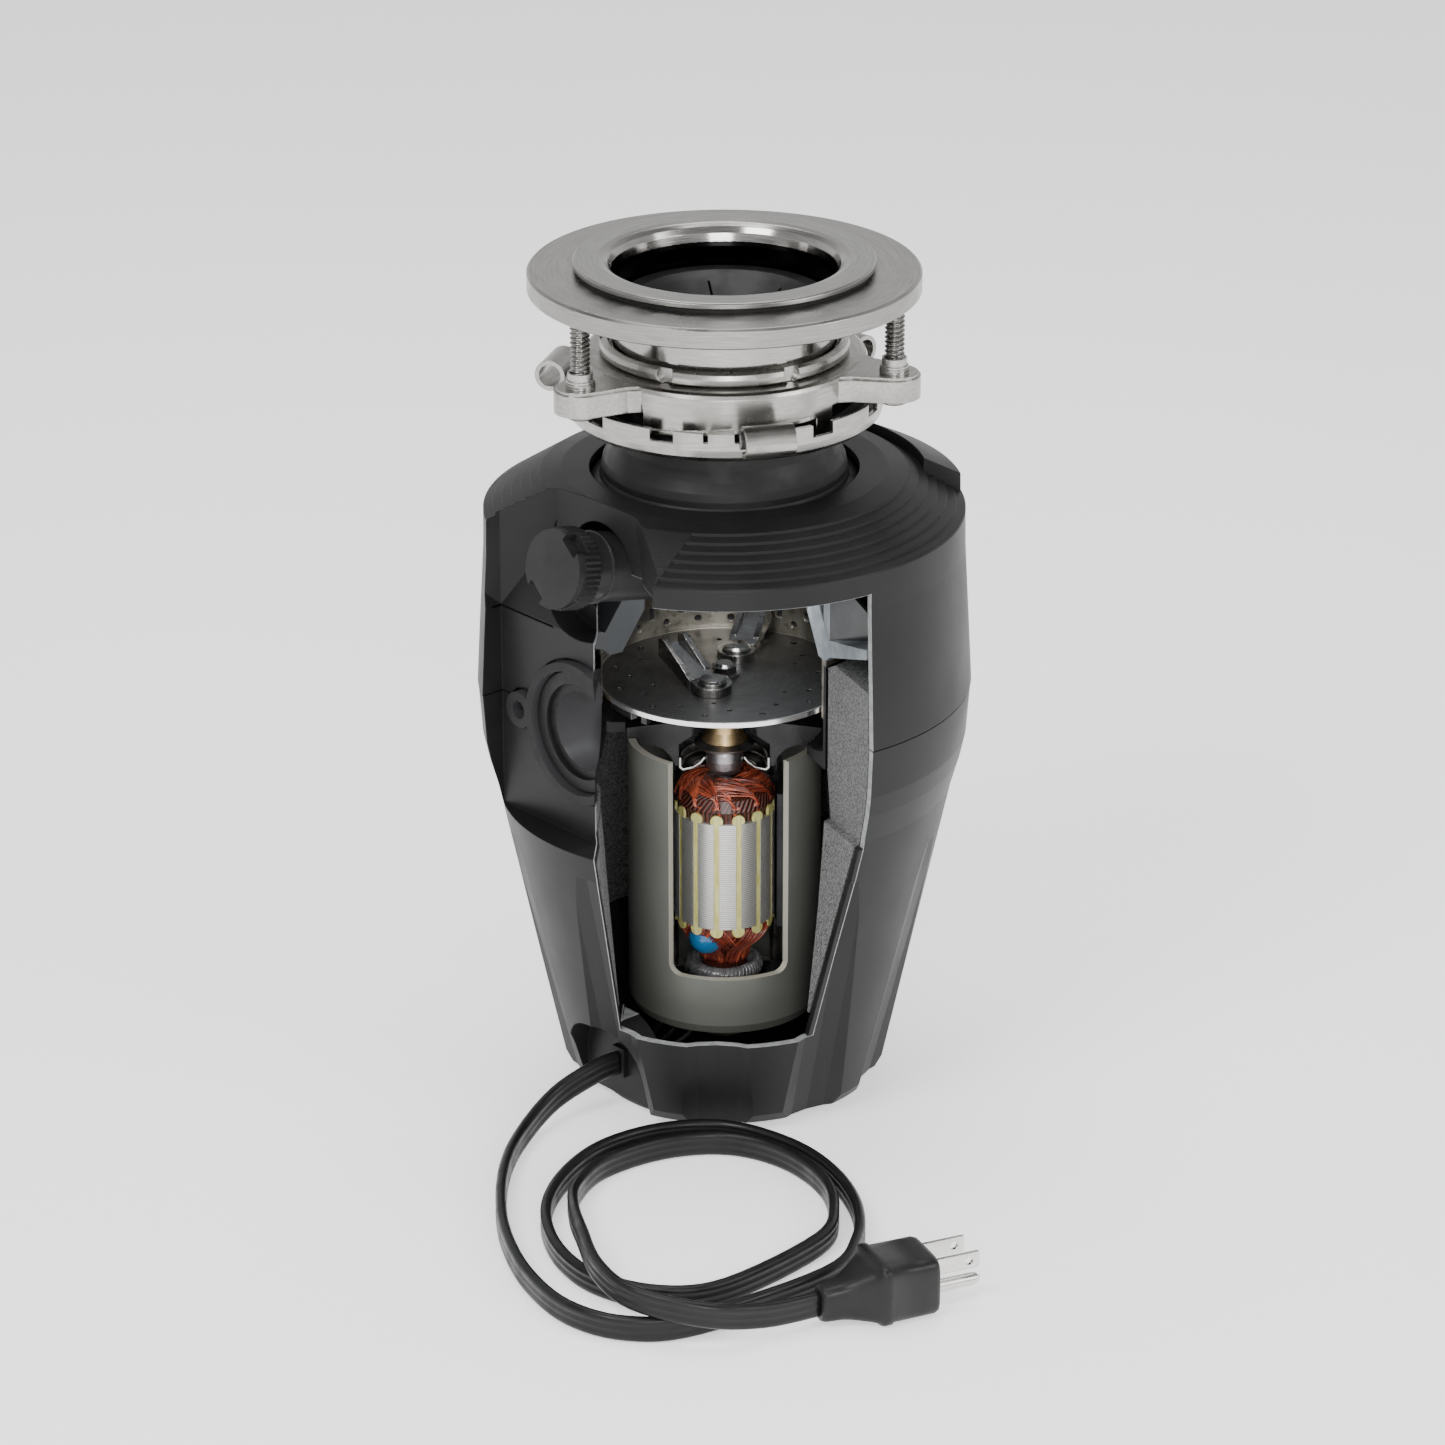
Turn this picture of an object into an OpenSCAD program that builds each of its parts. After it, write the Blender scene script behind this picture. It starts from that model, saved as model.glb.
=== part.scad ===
// Kitchen garbage disposal: a cutaway display unit that stands on its base.
// Millimetres, +Z up, origin at the centre of the base on the surface it stands on.
// The drain outlet, the dishwasher inlet and the mains cord face -X.
// Angles are measured anticlockwise from +X, seen from above.

/* [Housing] */
// Radius of the upper housing at the joint between the housings
body_r = 95.3; // [92:0.1:98]
// Height of the joint between the lower and the upper housing
seam_z = 167.6; // [164:0.2:170]
// Radius of the lip where the shoulder steps begin
lip_r = 92; // [90:0.5:94]
// Height of that lip
lip_z = 238; // [234:0.5:240]
// Wall thickness of both housings
wall = 3; // [2.4:0.2:3.4]
// Radius of the lower housing at its bottom edge, over the ridges
base_r = 63; // [62:0.5:66]
// Number of flutes around the lower housing
flute_count = 10; // [8:1:12]

/* [Grind chamber] */
// Inside radius of the grind ring
ring_r = 50; // [50:0.2:51.4]
// Radius of the turntable
turntable_r = 49.4; // [48:0.2:49.6]
// Height of the top face of the turntable
turntable_z = 167.5; // [167:0.5:169]
// Height of the top of the grind ring
ring_top_z = 186.5; // [184:0.5:188]
// Distance of an impeller's rivet from the axis
pivot_r = 18; // [17:0.5:19]

/* [Outlet and inlet] */
// Height of the drain outlet's axis
outlet_z = 164; // [162:0.5:166]
// Radius of the drain outlet's bore
outlet_bore_r = 15.5; // [14:0.5:16.5]
// Distance of each outlet ear hole from the outlet's axis
outlet_ear = 32.3; // [31:0.1:33]
// Outer radius of the dishwasher spout where the hose goes
spout_r = 11.1; // [10:0.1:11.5]
// Upward tilt of the dishwasher spout, degrees
spout_tilt = 12; // [8:1:15]

/* [Motor] */
// Outer radius of the motor can
can_r = 37.8; // [36:0.2:39]
// Height of the bottom of the can
can_z0 = 29.8; // [28:0.2:32]
// Height of the top of the can
can_z1 = 142.8; // [140:0.2:144]
// Radius of the armature core
core_r = 19.7; // [18:0.1:21]
// Number of armature slots
slot_count = 14; // [12:1:16]
// Radius of the shaft
shaft_r = 4; // [3.5:0.5:4]

/* [Sink mount] */
// Radius of the sink flange
flange_r = 57; // [55:0.5:58]
// Radius of the support plate under the sink flange
plate_r = 74.2; // [72:0.2:75]
// Height of the top face of the support plate
plate_z = 332; // [330:0.5:334]
// Outer radius of the polished sleeve
sleeve_r = 42.6; // [42:0.1:43]
// Distance of each mounting stud from the axis
stud_pcr = 68; // [67:0.5:69]
// Radius of each mounting stud
stud_r = 3.9; // [3.5:0.1:4]

/* [Hidden] */

// Number of facets that marks a true circle
round_fn = 96;
// Overshoot of a cutting shape past the face that it cuts
cut = 1;

// ---- The display cut: a wedge that opens towards this direction
view_a = 228;
// Left and right sides of the wedge: sideways offset at the axis and slope with depth
left_off = -45.8;
left_slope = -0.054;
right_off = 22.8;
right_slope = 0.42;
// Lowest and highest level of the cut in the housings
cut_z0 = 41;
cut_z1 = 229.5;
// Below this level the wedge narrows towards its foot
taper_z = 125;
// Sideways narrowing of the wedge for each millimetre below that level
right_taper = 0.155;
left_taper = 0.1;
// Half-width and mid direction of the window in the motor can, and its sill
can_window_half = 37.7;
can_window_a = 231;
// Half angle of the display cut in the magnets and the upper end of the motor
end_cut_half = 82;
can_window_z = 54.5;

// ---- Housing
neck_open_r = 51.5;
plateau_z = 253.5;
plateau_r = 62;
step_count = 6;
step_in = 3.6;
step_slope = 0.64;
step_rise = 1.1;
housing_z0 = 4;
shoulder_z = 237;
rim_z = 128;
seam_gap = 0.5;
flute_r = 36;
flute_in_r = 57.6;
flute_slope = 0.25;
panel_x = -74;
panel_y = 45;
panel_z0 = 121;
pocket_x = -62;
hopper_split_z = 209;
pocket_z = 203;
pocket_wall = 2.5;
bowl_r = 27.5;
bowl_z = 229;
recess_x = -54;
recess_half = 20;
recess_top = 39;
exit_z = 19.4;

// ---- Chamber and drive
chamber_z0 = 143;
chamber_in_r = 51.5;
chamber_out_r = 53.5;
spool_z0 = 141;
bearing_z0 = 127;
bearing_z1 = 138.6;
core_z0 = 67.6;
core_z1 = 112.2;
comm_z0 = 34.2;
comm_z1 = 43;
comm_r = 9;
brush_z = 37;
brush_a_dir = 146;
run_gap = 0.05;
pivot_angles = [view_a - 15, view_a + 165];
bolt_angles = [8, 88];
bolt_r = 31.4;
button_at = [24, 18];
screw_r = 46;
lead_r = 1.2;

// ---- Outlet, inlet and cap
outlet_face_x = -77;
outlet_flange_r = 28;
outlet_seat_r = 24.5;
outlet_seat_d = 5;
ear_r = 7.2;
ear_hole_r = 3.6;
spout_root = [-62, 0, 228];
spout_body_r = 13.3;
cap_r = 15.8;
cap_len = 10.5;
cap_x = 22.5;

// ---- Sink mount
flange_z = 336.2;
plate_t = 7.8;
stud_angles = [176.5, 296.5, 56.5];
lug_angles = [242, 2, 122];
ring_z0 = 290;
ring_z1 = 300;
ring_in_r = 45;
ring_out_r = 54;
lock_r = 60.5;
lock_z0 = 274.5;
lock_z1 = 287;
lug_at_r = 66.2;

// ---- Cord and plug
cord_w = 10;
cord_t = 4.2;
cord_sides = 10;
cord_steps = 2;
cord_route = [
    [-56, 0, 19], [-66, 2, 17.5], [-84, 5, 11], [-106, -2, 5.4], [-128, -18, 5.2],
    [-149, -40, 5.2], [-166, -64, 5.2], [-179, -92, 5.2], [-184, -120, 5.2], [-176, -143, 5.2],
    [-154, -157, 5.2], [-98, -164, 5.2], [-72, -153, 5.2], [-53, -133, 5.2], [-41, -107, 5.2],
    [-38, -80, 5.2], [-46, -53, 5.2], [-67, -37, 5.2], [-94, -33, 5.2], [-121, -42, 5.2],
    [-143, -59, 5.2], [-158, -84, 5.2], [-162, -110, 5.2], [-152, -134, 5.2], [-130, -146, 5.2],
    [-82, -143, 5.2], [-61, -129, 5.2], [-48, -109, 5.2], [-44, -83, 5.2], [-52, -60, 5.2],
    [-73, -46, 5.2], [-101, -43, 5.2], [-124, -54, 6.5], [-140, -72, 10.5], [-155, -94, 15.6],
    [-168, -118, 15.8], [-172, -142, 15.8], [-158, -165, 13], [-138, -175, 9.6], [-117, -181, 9]];
plug_dir = -18.4;
plug_len = 43;
plug_half_w = 13.5;
plug_h = 24;
blade_off = 6.35;
blade_z = 17.6;
ground_z = 5.8;

// ======== Helpers ========

// A direction in plan from sideways and forward distances of the display view
function plan(u, v) = [u * cos(view_a + 90) + v * cos(view_a),
                       u * sin(view_a + 90) + v * sin(view_a)];

// A closed sector of a disc from angle a0 to a1, at most half a turn
module sector(r, z0, z1, a0, a1) {
    steps = 6;
    translate([0, 0, z0]) linear_extrude(z1 - z0)
        polygon(concat([[0, 0]],
            [for (i = [0 : steps]) r * [cos(a0 + (a1 - a0) * i / steps),
                                        sin(a0 + (a1 - a0) * i / steps)]]));
}

// A ring or disc with a rectangular section
module ring(r0, r1, z0, z1) {
    rotate_extrude($fn = round_fn)
        translate([r0, z0]) square([r1 - r0, z1 - z0]);
}

// A body of revolution from a list of [radius, height] points
module turned(points) {
    rotate_extrude($fn = round_fn) polygon(points);
}

// Moves its children to a radius and angle around the axis
module around(a, r = 0, z = 0) {
    rotate([0, 0, a]) translate([r, 0, z]) children();
}

// The wedge of the display cut between two levels
module display_wedge(z0, z1) {
    front = 150;
    translate([0, 0, z0]) linear_extrude(z1 - z0)
        polygon([plan(left_off, 0), plan(left_off + left_slope * front, front),
                 plan(right_off + right_slope * front, front), plan(right_off, 0)]);
}

// The hopper's own cut: its left side runs straight out from the axis
module hopper_wedge(z0, z1) {
    front = 150;
    translate([0, 0, z0]) linear_extrude(z1 - z0)
        polygon([[0, 0], plan(-front * 0.82, front * 0.57), plan(-front * 0.4, front * 1.4),
                 plan(right_off + right_slope * front, front), plan(right_off, 0)]);
}

// The foot of the wedge, which narrows below taper_z
module display_foot(z0) {
    front = 150;
    rise = taper_z - z0;
    slab = 0.1;
    left_in = left_taper * rise;
    right_in = right_taper * rise;
    hull() {
        translate([0, 0, z0]) linear_extrude(slab)
            polygon([plan(left_off + left_in, 10), plan(left_off + left_slope * front + left_in, front),
                     plan(right_off + right_slope * front - right_in, front),
                     plan(right_off - right_in, 10)]);
        translate([0, 0, taper_z]) linear_extrude(slab)
            polygon([plan(left_off, 10), plan(left_off + left_slope * front, front),
                     plan(right_off + right_slope * front, front), plan(right_off, 10)]);
    }
}

// ======== Sink mount ========

module sink_flange() color("silver") turned([
    [flange_r - 0.6, flange_z - 2.6], [flange_r, flange_z - 2], [flange_r, flange_z - 0.6],
    [flange_r - 0.6, flange_z], [47.5, flange_z], [45.4, flange_z - 0.5], [43.8, flange_z - 1.8],
    [42.6, flange_z - 4], [41.6, flange_z - 9], [41.2, 322], [41.2, 284], [sleeve_r, 284],
    [sleeve_r, 323], [sleeve_r + 0.4, flange_z - 7], [46, flange_z - 2.6]]);

module flange_gasket() color([0.08, 0.08, 0.08]) ring(46.4, flange_r - 1.5, plate_z, flange_z - 2.6);

module support_plate() color("silver") turned([
    [46.2, plate_z - plate_t], [plate_r - 0.5, plate_z - plate_t], [plate_r, plate_z - plate_t + 0.5],
    [plate_r, plate_z - 0.9], [plate_r - 0.9, plate_z], [46.2, plate_z]]);

module splash_baffle() color([0.15, 0.15, 0.16]) difference() {
    turned([[39.6, 301], [41.15, 301], [41.15, 319], [39.5, 320.4], [34, 320.4], [31, 318.8],
            [10, 306.5], [9.4, 305], [10.6, 304.4], [30, 315.4], [34, 317.6], [38.2, 317.6],
            [39.6, 316.2]]);
    for (i = [0 : 5]) around(60 * i) translate([8, -0.4, 295]) cube([21, 0.8, 30]);
}

module snap_ring() color("silver") difference() {
    turned([[sleeve_r + 0.02, 300.2], [46.2, 300.2], [47.2, 301.1], [47.4, 303.2], [46.9, 305],
            [45.6, 306], [44.3, 305.6], [43.7, 304.4], [43.5, 302.6], [sleeve_r + 0.02, 302.2]]);
    for (i = [0 : 5]) around(view_a - 28 + 60 * i, 47.6, 303.4) rotate([0, -90, 0])
        translate([0, 0, -2]) cylinder(r = 3.4, h = 4.6, $fn = round_fn);
}

// Outline of one ear: a disc around the stud and an arm that widens towards the ring
function ear_outline() = let (tip = 10, arm = 17)
    concat([[ring_out_r - 12, -arm - 2], [ring_out_r - 3, -arm + 1], [ring_out_r + 2, -tip - 3]],
        [for (i = [0 : 12]) let (a = -80 + 160 * i / 12)
            [stud_pcr + tip * cos(a), tip * sin(a)]],
        [[ring_out_r + 2, tip + 3], [ring_out_r - 3, arm - 1], [ring_out_r - 12, arm + 2]]);

module upper_mount_ring() color("silver") difference() {
    union() {
        turned([[ring_in_r, ring_z0], [ring_out_r, ring_z0], [ring_out_r, ring_z1 - 2.2],
                [ring_out_r - 0.7, ring_z1 - 0.7], [ring_out_r - 2.2, ring_z1], [ring_in_r, ring_z1]]);
        for (a = stud_angles) around(a) {
            translate([0, 0, ring_z0]) linear_extrude(ring_z1 - ring_z0 - 1.6)
                polygon(ear_outline());
            translate([0, 0, ring_z1 - 1.7]) linear_extrude(1.3)
                translate([1.2, 0]) scale([0.975, 0.88]) polygon(ear_outline());
            translate([stud_pcr, 0, ring_z1 - 1]) cylinder(r = 5.6, h = 2.4, $fn = round_fn);
        }
        // Three hanging skirts; each ends in a ramp that the lock ring's tabs climb
        for (a = lug_angles) intersection() {
            ring(50.5, ring_out_r, ring_z0 - 12, ring_z0 + 1);
            around(a - 14) rotate([90, 0, 90]) linear_extrude(60)
                polygon([[-30, ring_z0 + 1], [-30, ring_z0 - 7.5], [34, ring_z0 - 3.2],
                         [34, ring_z0 - 7.8], [40, ring_z0 - 7.8], [40, ring_z0 + 1]]);
        }
        // Ramp lip: a thin raised rib along each skirt's ramp
        for (a = lug_angles) intersection() {
            ring(53, ring_out_r + 0.9, ring_z0 - 12, ring_z0 + 1);
            around(a - 14) rotate([90, 0, 90]) linear_extrude(60)
                polygon([[-28, ring_z0 - 5.6], [-28, ring_z0 - 7.2], [32, ring_z0 - 3],
                         [32, ring_z0 - 1.4]]);
        }
    }
    translate([0, 0, ring_z0 - 30]) cylinder(r = ring_in_r, h = 60, $fn = round_fn);
    for (a = stud_angles) around(a, stud_pcr, ring_z0 - cut)
        cylinder(r = stud_r + 0.02, h = 20, $fn = round_fn);
}

module mount_studs() color([0.35, 0.34, 0.33]) for (a = stud_angles) around(a, stud_pcr) {
    difference() {
        union() {
            translate([0, 0, 287.4]) cylinder(r = 5.4, h = ring_z0 - 287.4, $fn = round_fn);
            translate([0, 0, ring_z0 - 0.01])
                cylinder(r = stud_r, h = plate_z - plate_t - ring_z0 + 0.01, $fn = round_fn);
        }
        translate([-6, -0.6, 287]) cube([12, 1.2, 1.6]);
    }
}

module stud_collars() color("silver") for (a = stud_angles) around(a, stud_pcr, ring_z1 + 1.4)
    difference() {
        union() {
            cylinder(r = 5.3, h = 0.9, $fn = round_fn);
            cylinder(r = 4.7, h = 3.8, $fn = round_fn);
        }
        translate([0, 0, -cut]) cylinder(r = stud_r, h = 8, $fn = round_fn);
    }

// A shallow bowl with twelve edge positions: nine notches, and three tabs beside the tube lugs
module lock_ring() color("silver") {
    notch_first = view_a - 52.7;
    difference() {
        union() {
            turned([[49.5, lock_z0], [54.5, lock_z0], [57.4, lock_z0 + 0.9], [59.6, lock_z0 + 3],
                    [lock_r, lock_z0 + 6], [lock_r, lock_z1], [lock_r - 1.8, lock_z1],
                    [lock_r - 1.8, lock_z0 + 6.4], [57.9, lock_z0 + 4], [56, lock_z0 + 2.6],
                    [53.5, lock_z0 + 1.9], [49.5, lock_z0 + 1.9]]);
            for (a = lug_angles) around(a, lug_at_r, 286) rotate([90, 0, 0])
                translate([0, 0, -9.5]) tube_lug();
            // Inward tabs that ride on the ramps
            for (a = lug_angles) around(a - 14.6) translate([lock_r - 5.2, -6.3, lock_z1 - 2.4])
                cube([5, 12.6, 1.6]);
        }
        for (i = [0 : 11]) if (i % 4 != 2) around(notch_first + 30 * i)
            translate([lock_r - 6, -4.7, lock_z1 - 4.6]) cube([12, 9.4, 10]);
        for (a = lug_angles) for (side = [-9.6, -20.6]) around(a + side)
            translate([lock_r - 6, -0.9, lock_z1 - 3.6]) cube([12, 1.8, 10]);
    }
}

// A strip rolled into an open tube, 19 long, which takes the wrench
module tube_lug() {
    lug_r = 6;
    linear_extrude(19) difference() {
        circle(r = lug_r, $fn = round_fn);
        circle(r = lug_r - 1.7, $fn = round_fn);
        translate([-9, -9]) polygon([[0, 0], [9, 9], [6, 0]]);
    }
}

module neck_cushion() color([0.1, 0.1, 0.1]) turned([
    [44.1, 247.6], [51.1, 247.6], [51.1, 249.6], [47.6, 250.8], [46.6, 252.6], [46.8, 255],
    [46.2, 258], [44.2, 262], [42.6, 266], [41.9, 270], [42, 273.2], [48.8, 274], [48.8, 276.8],
    [52.8, 277], [52.8, 279.4], [50, 283], [sleeve_r + 0.4, 283.7], [39.9, 283.7],
    [39.9, 255.4], [44.1, 255.4]]);

// ======== Housings ========

// Outer line of the shoulder: stepped ring by ring, from the lip up to the plateau
function step_points() = [for (k = [0 : step_count - 1]) for (side = [0, 1])
    let (r = lip_r - step_in * (k + side), z = lip_z + step_slope * step_in * (k + side))
    [r, side == 0 ? z : z - step_rise]];

function upper_outline(inset) = concat(
    [[0, seam_z + seam_gap / 2], [body_r - inset, seam_z + seam_gap / 2], [94.1 - inset, 190],
     [92.2 - inset, 223], [lip_r - inset, lip_z - 1 - inset * 0.4]],
    inset > 0 ? [[88.2, lip_z - 1.6]] : [[lip_r - 0.4, lip_z]],
    inset > 0 ? [] : step_points(),
    [[lip_r - step_in * step_count - inset * 0.3, lip_z + 13.8 - inset],
     [plateau_r, plateau_z - inset], [0, plateau_z - inset]]);

// Plan of the pocket around the dishwasher spout at its top, where it cuts the shoulder
function pocket_plan(grow) = [[-110, 58 + grow], [-80, 44.6 + grow], [pocket_x + grow, 25 + grow],
    [pocket_x + grow, -20 - grow], [-77.5 + grow / 2, -47.5 - grow], [-110, -60 - grow]];

// The flat panel runs up into the pocket; a round bowl makes room for the cap
module pocket(grow) {
    hull() {
        translate([0, 0, pocket_z + 32]) linear_extrude(60) polygon(pocket_plan(grow));
        translate([-110, -panel_y - grow, pocket_z])
            cube([110 + panel_x + grow, 2 * (panel_y + grow), 60]);
    }
    translate([-110, 0, bowl_z]) rotate([0, 90, 0])
        cylinder(r = bowl_r + grow, h = 110 + pocket_x + grow, $fn = round_fn);
}

// The opening around the outlet flange and its ears, along X
module outlet_clearance(grow, x0, x1) {
    translate([x0, 0, outlet_z]) rotate([0, 90, 0]) linear_extrude(x1 - x0) {
        circle(r = outlet_flange_r + grow, $fn = round_fn);
        for (s = [-1, 1]) translate([0, s * outlet_ear]) circle(r = ear_r + grow, $fn = round_fn);
        translate([-ear_r - grow + 1.5, -outlet_ear]) square([2 * (ear_r + grow) - 3, 2 * outlet_ear]);
    }
}

// The flat panel around the outlet, cut into the housings
module panel_cut(z0, z1) {
    translate([-120, -panel_y, z0]) cube([120 + panel_x, 2 * panel_y, z1 - z0]);
}

module upper_shell() difference() {
    union() {
        difference() {
            turned(upper_outline(0));
            turned(concat([[0, seam_z - 5]], [for (p = upper_outline(wall)) p[1] < seam_z + 1
                ? [p[0], seam_z - 5] : p]));
        }
        intersection() {
            turned(upper_outline(0));
            union() {
                pocket(pocket_wall);
                translate([-120, -panel_y - wall, seam_z + seam_gap / 2])
                    cube([120 + panel_x + wall, 2 * (panel_y + wall), pocket_z - seam_z - 1]);
            }
        }
        // The steps stop in a smooth cone beside the pocket
        intersection() {
            turned([[plateau_r, 240], [lip_r - 1, lip_z - 2], [lip_r - 0.4, lip_z],
                    [lip_r - step_in * step_count, lip_z + step_slope * step_in * step_count],
                    [plateau_r, plateau_z - 1]]);
            translate([0, 0, 200]) linear_extrude(80) polygon([[-110, -56], [-79.5, -48.4],
                [-55.3, -43.6], [-50, 0], [-66.7, 30], [-80, 45], [-110, 62]]);
        }
        // A raised pad on the shoulder behind the right-hand side
        intersection() {
            turned([[76, 240], [lip_r - 0.4, lip_z - 3], [lip_r - 0.6, lip_z + 7.4], [77, 252.4]]);
            sector(120, lip_z - 5, 260, view_a + 98, view_a + 150);
        }
    }
    pocket(0);
    panel_cut(seam_z - 1, pocket_z + 0.01);
    outlet_clearance(0.9, -90, -60);
    translate([0, 0, 230]) cylinder(r = neck_open_r, h = 60, $fn = round_fn);
    display_wedge(seam_z - 2, cut_z1);
    // Arch around the spout
    translate(spout_root) rotate([0, 90, 0]) translate([0, 0, -6])
        cylinder(r = 17.4, h = 12, $fn = round_fn);
}

// The part of its children between two levels
module level(z0, z1) intersection() {
    children();
    translate([-150, -150, z0]) cube([300, 300, z1 - z0]);
}

// Each moulding is modelled in simple parts that meet at a level
module upper_housing() color([0.16, 0.16, 0.17]) level(seam_z - 1, shoulder_z) upper_shell();

module upper_shoulder() color([0.16, 0.16, 0.17]) level(shoulder_z, plateau_z + 1) upper_shell();

// Outer line of the lower housing over the ridges, moved in by the wall
function lower_outline(inset) = [[0, housing_z0], [base_r - 2.5 - inset, housing_z0],
    [base_r - inset, housing_z0 + 4], [88.6 - inset, 128], [89.6 - inset, 131.5],
    [91.9 - inset, 139.5], [93.7 - inset, 148], [body_r - 0.2 - inset, seam_z - seam_gap / 2],
    [0, seam_z - seam_gap / 2]];

// One flute in plan: a shallow arc in flat strips, open towards +X
function flute_outline() = concat(
    [for (k = [0 : 6]) let (a = -36 + 12 * k) [flute_r * (1 - cos(a)), flute_r * sin(a)]],
    [[60, 30], [60, -30]]);

module flutes(inset) {
    for (i = [0 : flute_count - 1]) around(view_a - 2.4 + 360 / flute_count * i)
        translate([flute_in_r - inset, 0, housing_z0]) rotate([0, atan(flute_slope), 0])
            translate([0, 0, -20]) linear_extrude(130) polygon(flute_outline());
}

// An arch-topped block along X, for the scoop around the cord exit
module cord_arch(grow, x0, x1) {
    arch_z = recess_top - recess_half;
    translate([x0, 0, 0]) rotate([90, 0, 90]) linear_extrude(x1 - x0) union() {
        translate([0, arch_z]) circle(r = recess_half + grow, $fn = round_fn);
        translate([-recess_half - grow, -20]) square([2 * (recess_half + grow), arch_z + 20]);
    }
}

module lower_solid(inset) difference() {
    turned(lower_outline(inset));
    flutes(inset);
}

module lower_shell() difference() {
    union() {
        difference() {
            lower_solid(0);
            difference() {
                lower_solid(wall);
                translate([0, 0, -1]) cylinder(r = 120, h = housing_z0 + wall + 1, $fn = round_fn);
            }
            translate([0, 0, seam_z - seam_gap / 2 - 1]) ring(80, body_r - wall - 0.2, 0, 3);
        }
        intersection() {
            turned(lower_outline(0));
            translate([-120, -panel_y - wall, panel_z0 - wall])
                cube([120 + panel_x + wall, 2 * (panel_y + wall), seam_z - panel_z0 + wall - seam_gap / 2]);
        }
        intersection() {
            lower_solid(0);
            cord_arch(wall, -100, recess_x + wall);
            translate([-100, -50, housing_z0]) cube([100, 100, 60]);
        }
    }
    panel_cut(panel_z0, seam_z + 1);
    outlet_clearance(0.9, -90, -60);
    cord_arch(0, -120, recess_x);
    translate([0, 0, -1]) cylinder(r = 42, h = 12, $fn = round_fn);
    // Cord hole
    translate([recess_x - 1, 0, exit_z]) rotate([0, 90, 0]) linear_extrude(8)
        square([12.4, 6.8], center = true);
    display_wedge(taper_z, seam_z + 1);
    display_foot(cut_z0);
    for (i = [0 : 3]) around(45 + 90 * i, screw_r, housing_z0 - 1) cylinder(r = 1.5, h = 8, $fn = round_fn);
}

module lower_rim() color([0.16, 0.16, 0.17]) level(rim_z, seam_z) lower_shell();

module lower_housing() color([0.16, 0.16, 0.17]) level(cut_z0, rim_z) difference() {
    lower_shell();
    display_foot(cut_z0 - 1);
}

module lower_base() color([0.16, 0.16, 0.17]) level(0, cut_z0) lower_shell();

module sound_foam() color([0.42, 0.42, 0.42]) difference() {
    turned([[64.4, 50], [65.6, 50], [79.3, 105], [84.9, 128], [85.9, 131.5], [88.2, 139.5],
            [90, 148], [91.5, seam_z - 1], [90.6, 189], [89.6, 189.5], [62, 189.5], [55.6, 186],
            [55.6, 143], [57.5, 131], [62, 90]]);
    translate([-120, -panel_y - wall - 0.4, panel_z0 - wall - 0.4])
        cube([120 + panel_x + wall + 0.4, 2 * (panel_y + wall + 0.4), 90]);
    outlet_clearance(3.4, -100, -50);
    display_wedge(taper_z, 200);
    display_foot(cut_z0);
}

// ======== Grind chamber ========

// Cuts that all parts of the hopper share
module hopper_cut() difference() {
    children();
    translate([-120, -58, 150]) cube([120 - 59, 116, 100]);
    translate(spout_root) rotate([0, -90 + spout_tilt, 0]) translate([0, 0, -30])
        cylinder(r = spout_body_r, h = 60, $fn = round_fn);
    hopper_wedge(150, 232);
}

module hopper() color([0.53, 0.56, 0.58]) hopper_cut() turned([
    [47, hopper_split_z], [55, 197.2], [88.4, 206], [88.4, 202], [56, 190.4], [ring_r + 3, 187.6],
    [ring_r - 3, 187.6], [46.6, 188.6], [36.8, 203], [37.1, hopper_split_z]]);

module hopper_neck() color([0.53, 0.56, 0.58]) hopper_cut() turned([
    [37.1, hopper_split_z], [38, 225], [38, 255.2], [43.7, 255.2], [43.7, 228], [47, hopper_split_z]]);

// Bracing ribs in the corner between the neck and the web
module hopper_ribs() color([0.53, 0.56, 0.58]) hopper_cut()
    for (i = [0 : 11]) around(view_a + 46 + 30 * i) rotate([90, 0, 0])
        translate([0, 0, -1]) linear_extrude(2)
            polygon([[43.7, 230], [43.7, 228], [47, hopper_split_z], [55, 197.2], [86, 205.35],
                     [86, 207], [62, 222], [48, 230]]);

module discharge_chamber() color([0.1, 0.1, 0.11]) difference() {
    union() {
        turned([[38.3, chamber_z0 + 0.2], [chamber_out_r, chamber_z0 + 0.2], [chamber_out_r, 185.6],
                [chamber_in_r, 185.6], [chamber_in_r, 150], [44, 147.4], [38.3, 147.4]]);
        translate([outlet_face_x, 0, outlet_z]) rotate([0, 90, 0])
            cylinder(r = 20.5, h = -outlet_face_x - 45, $fn = round_fn);
        translate([outlet_face_x, 0, outlet_z]) rotate([0, 90, 0])
            cylinder(r = outlet_flange_r, h = 8.4, $fn = round_fn);
        intersection() {
            outlet_clearance(0, outlet_face_x, outlet_face_x + 5);
            translate([-100, -60, 100]) cube([100, 120, 100]);
        }
    }
    translate([outlet_face_x - cut, 0, outlet_z]) rotate([0, 90, 0]) {
        cylinder(r = outlet_seat_r, h = outlet_seat_d + cut, $fn = round_fn);
        cylinder(r = outlet_bore_r, h = 40, $fn = round_fn);
    }
    for (s = [-1, 1]) translate([outlet_face_x - cut, s * outlet_ear, outlet_z]) rotate([0, 90, 0])
        cylinder(r = ear_hole_r, h = 10, $fn = round_fn);
    // The chamber's own space stays clear of the outlet's tube
    translate([0, 0, 150]) cylinder(r = chamber_in_r, h = 40, $fn = round_fn);
    display_wedge(chamber_z0 - 10, 200);
}

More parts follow.
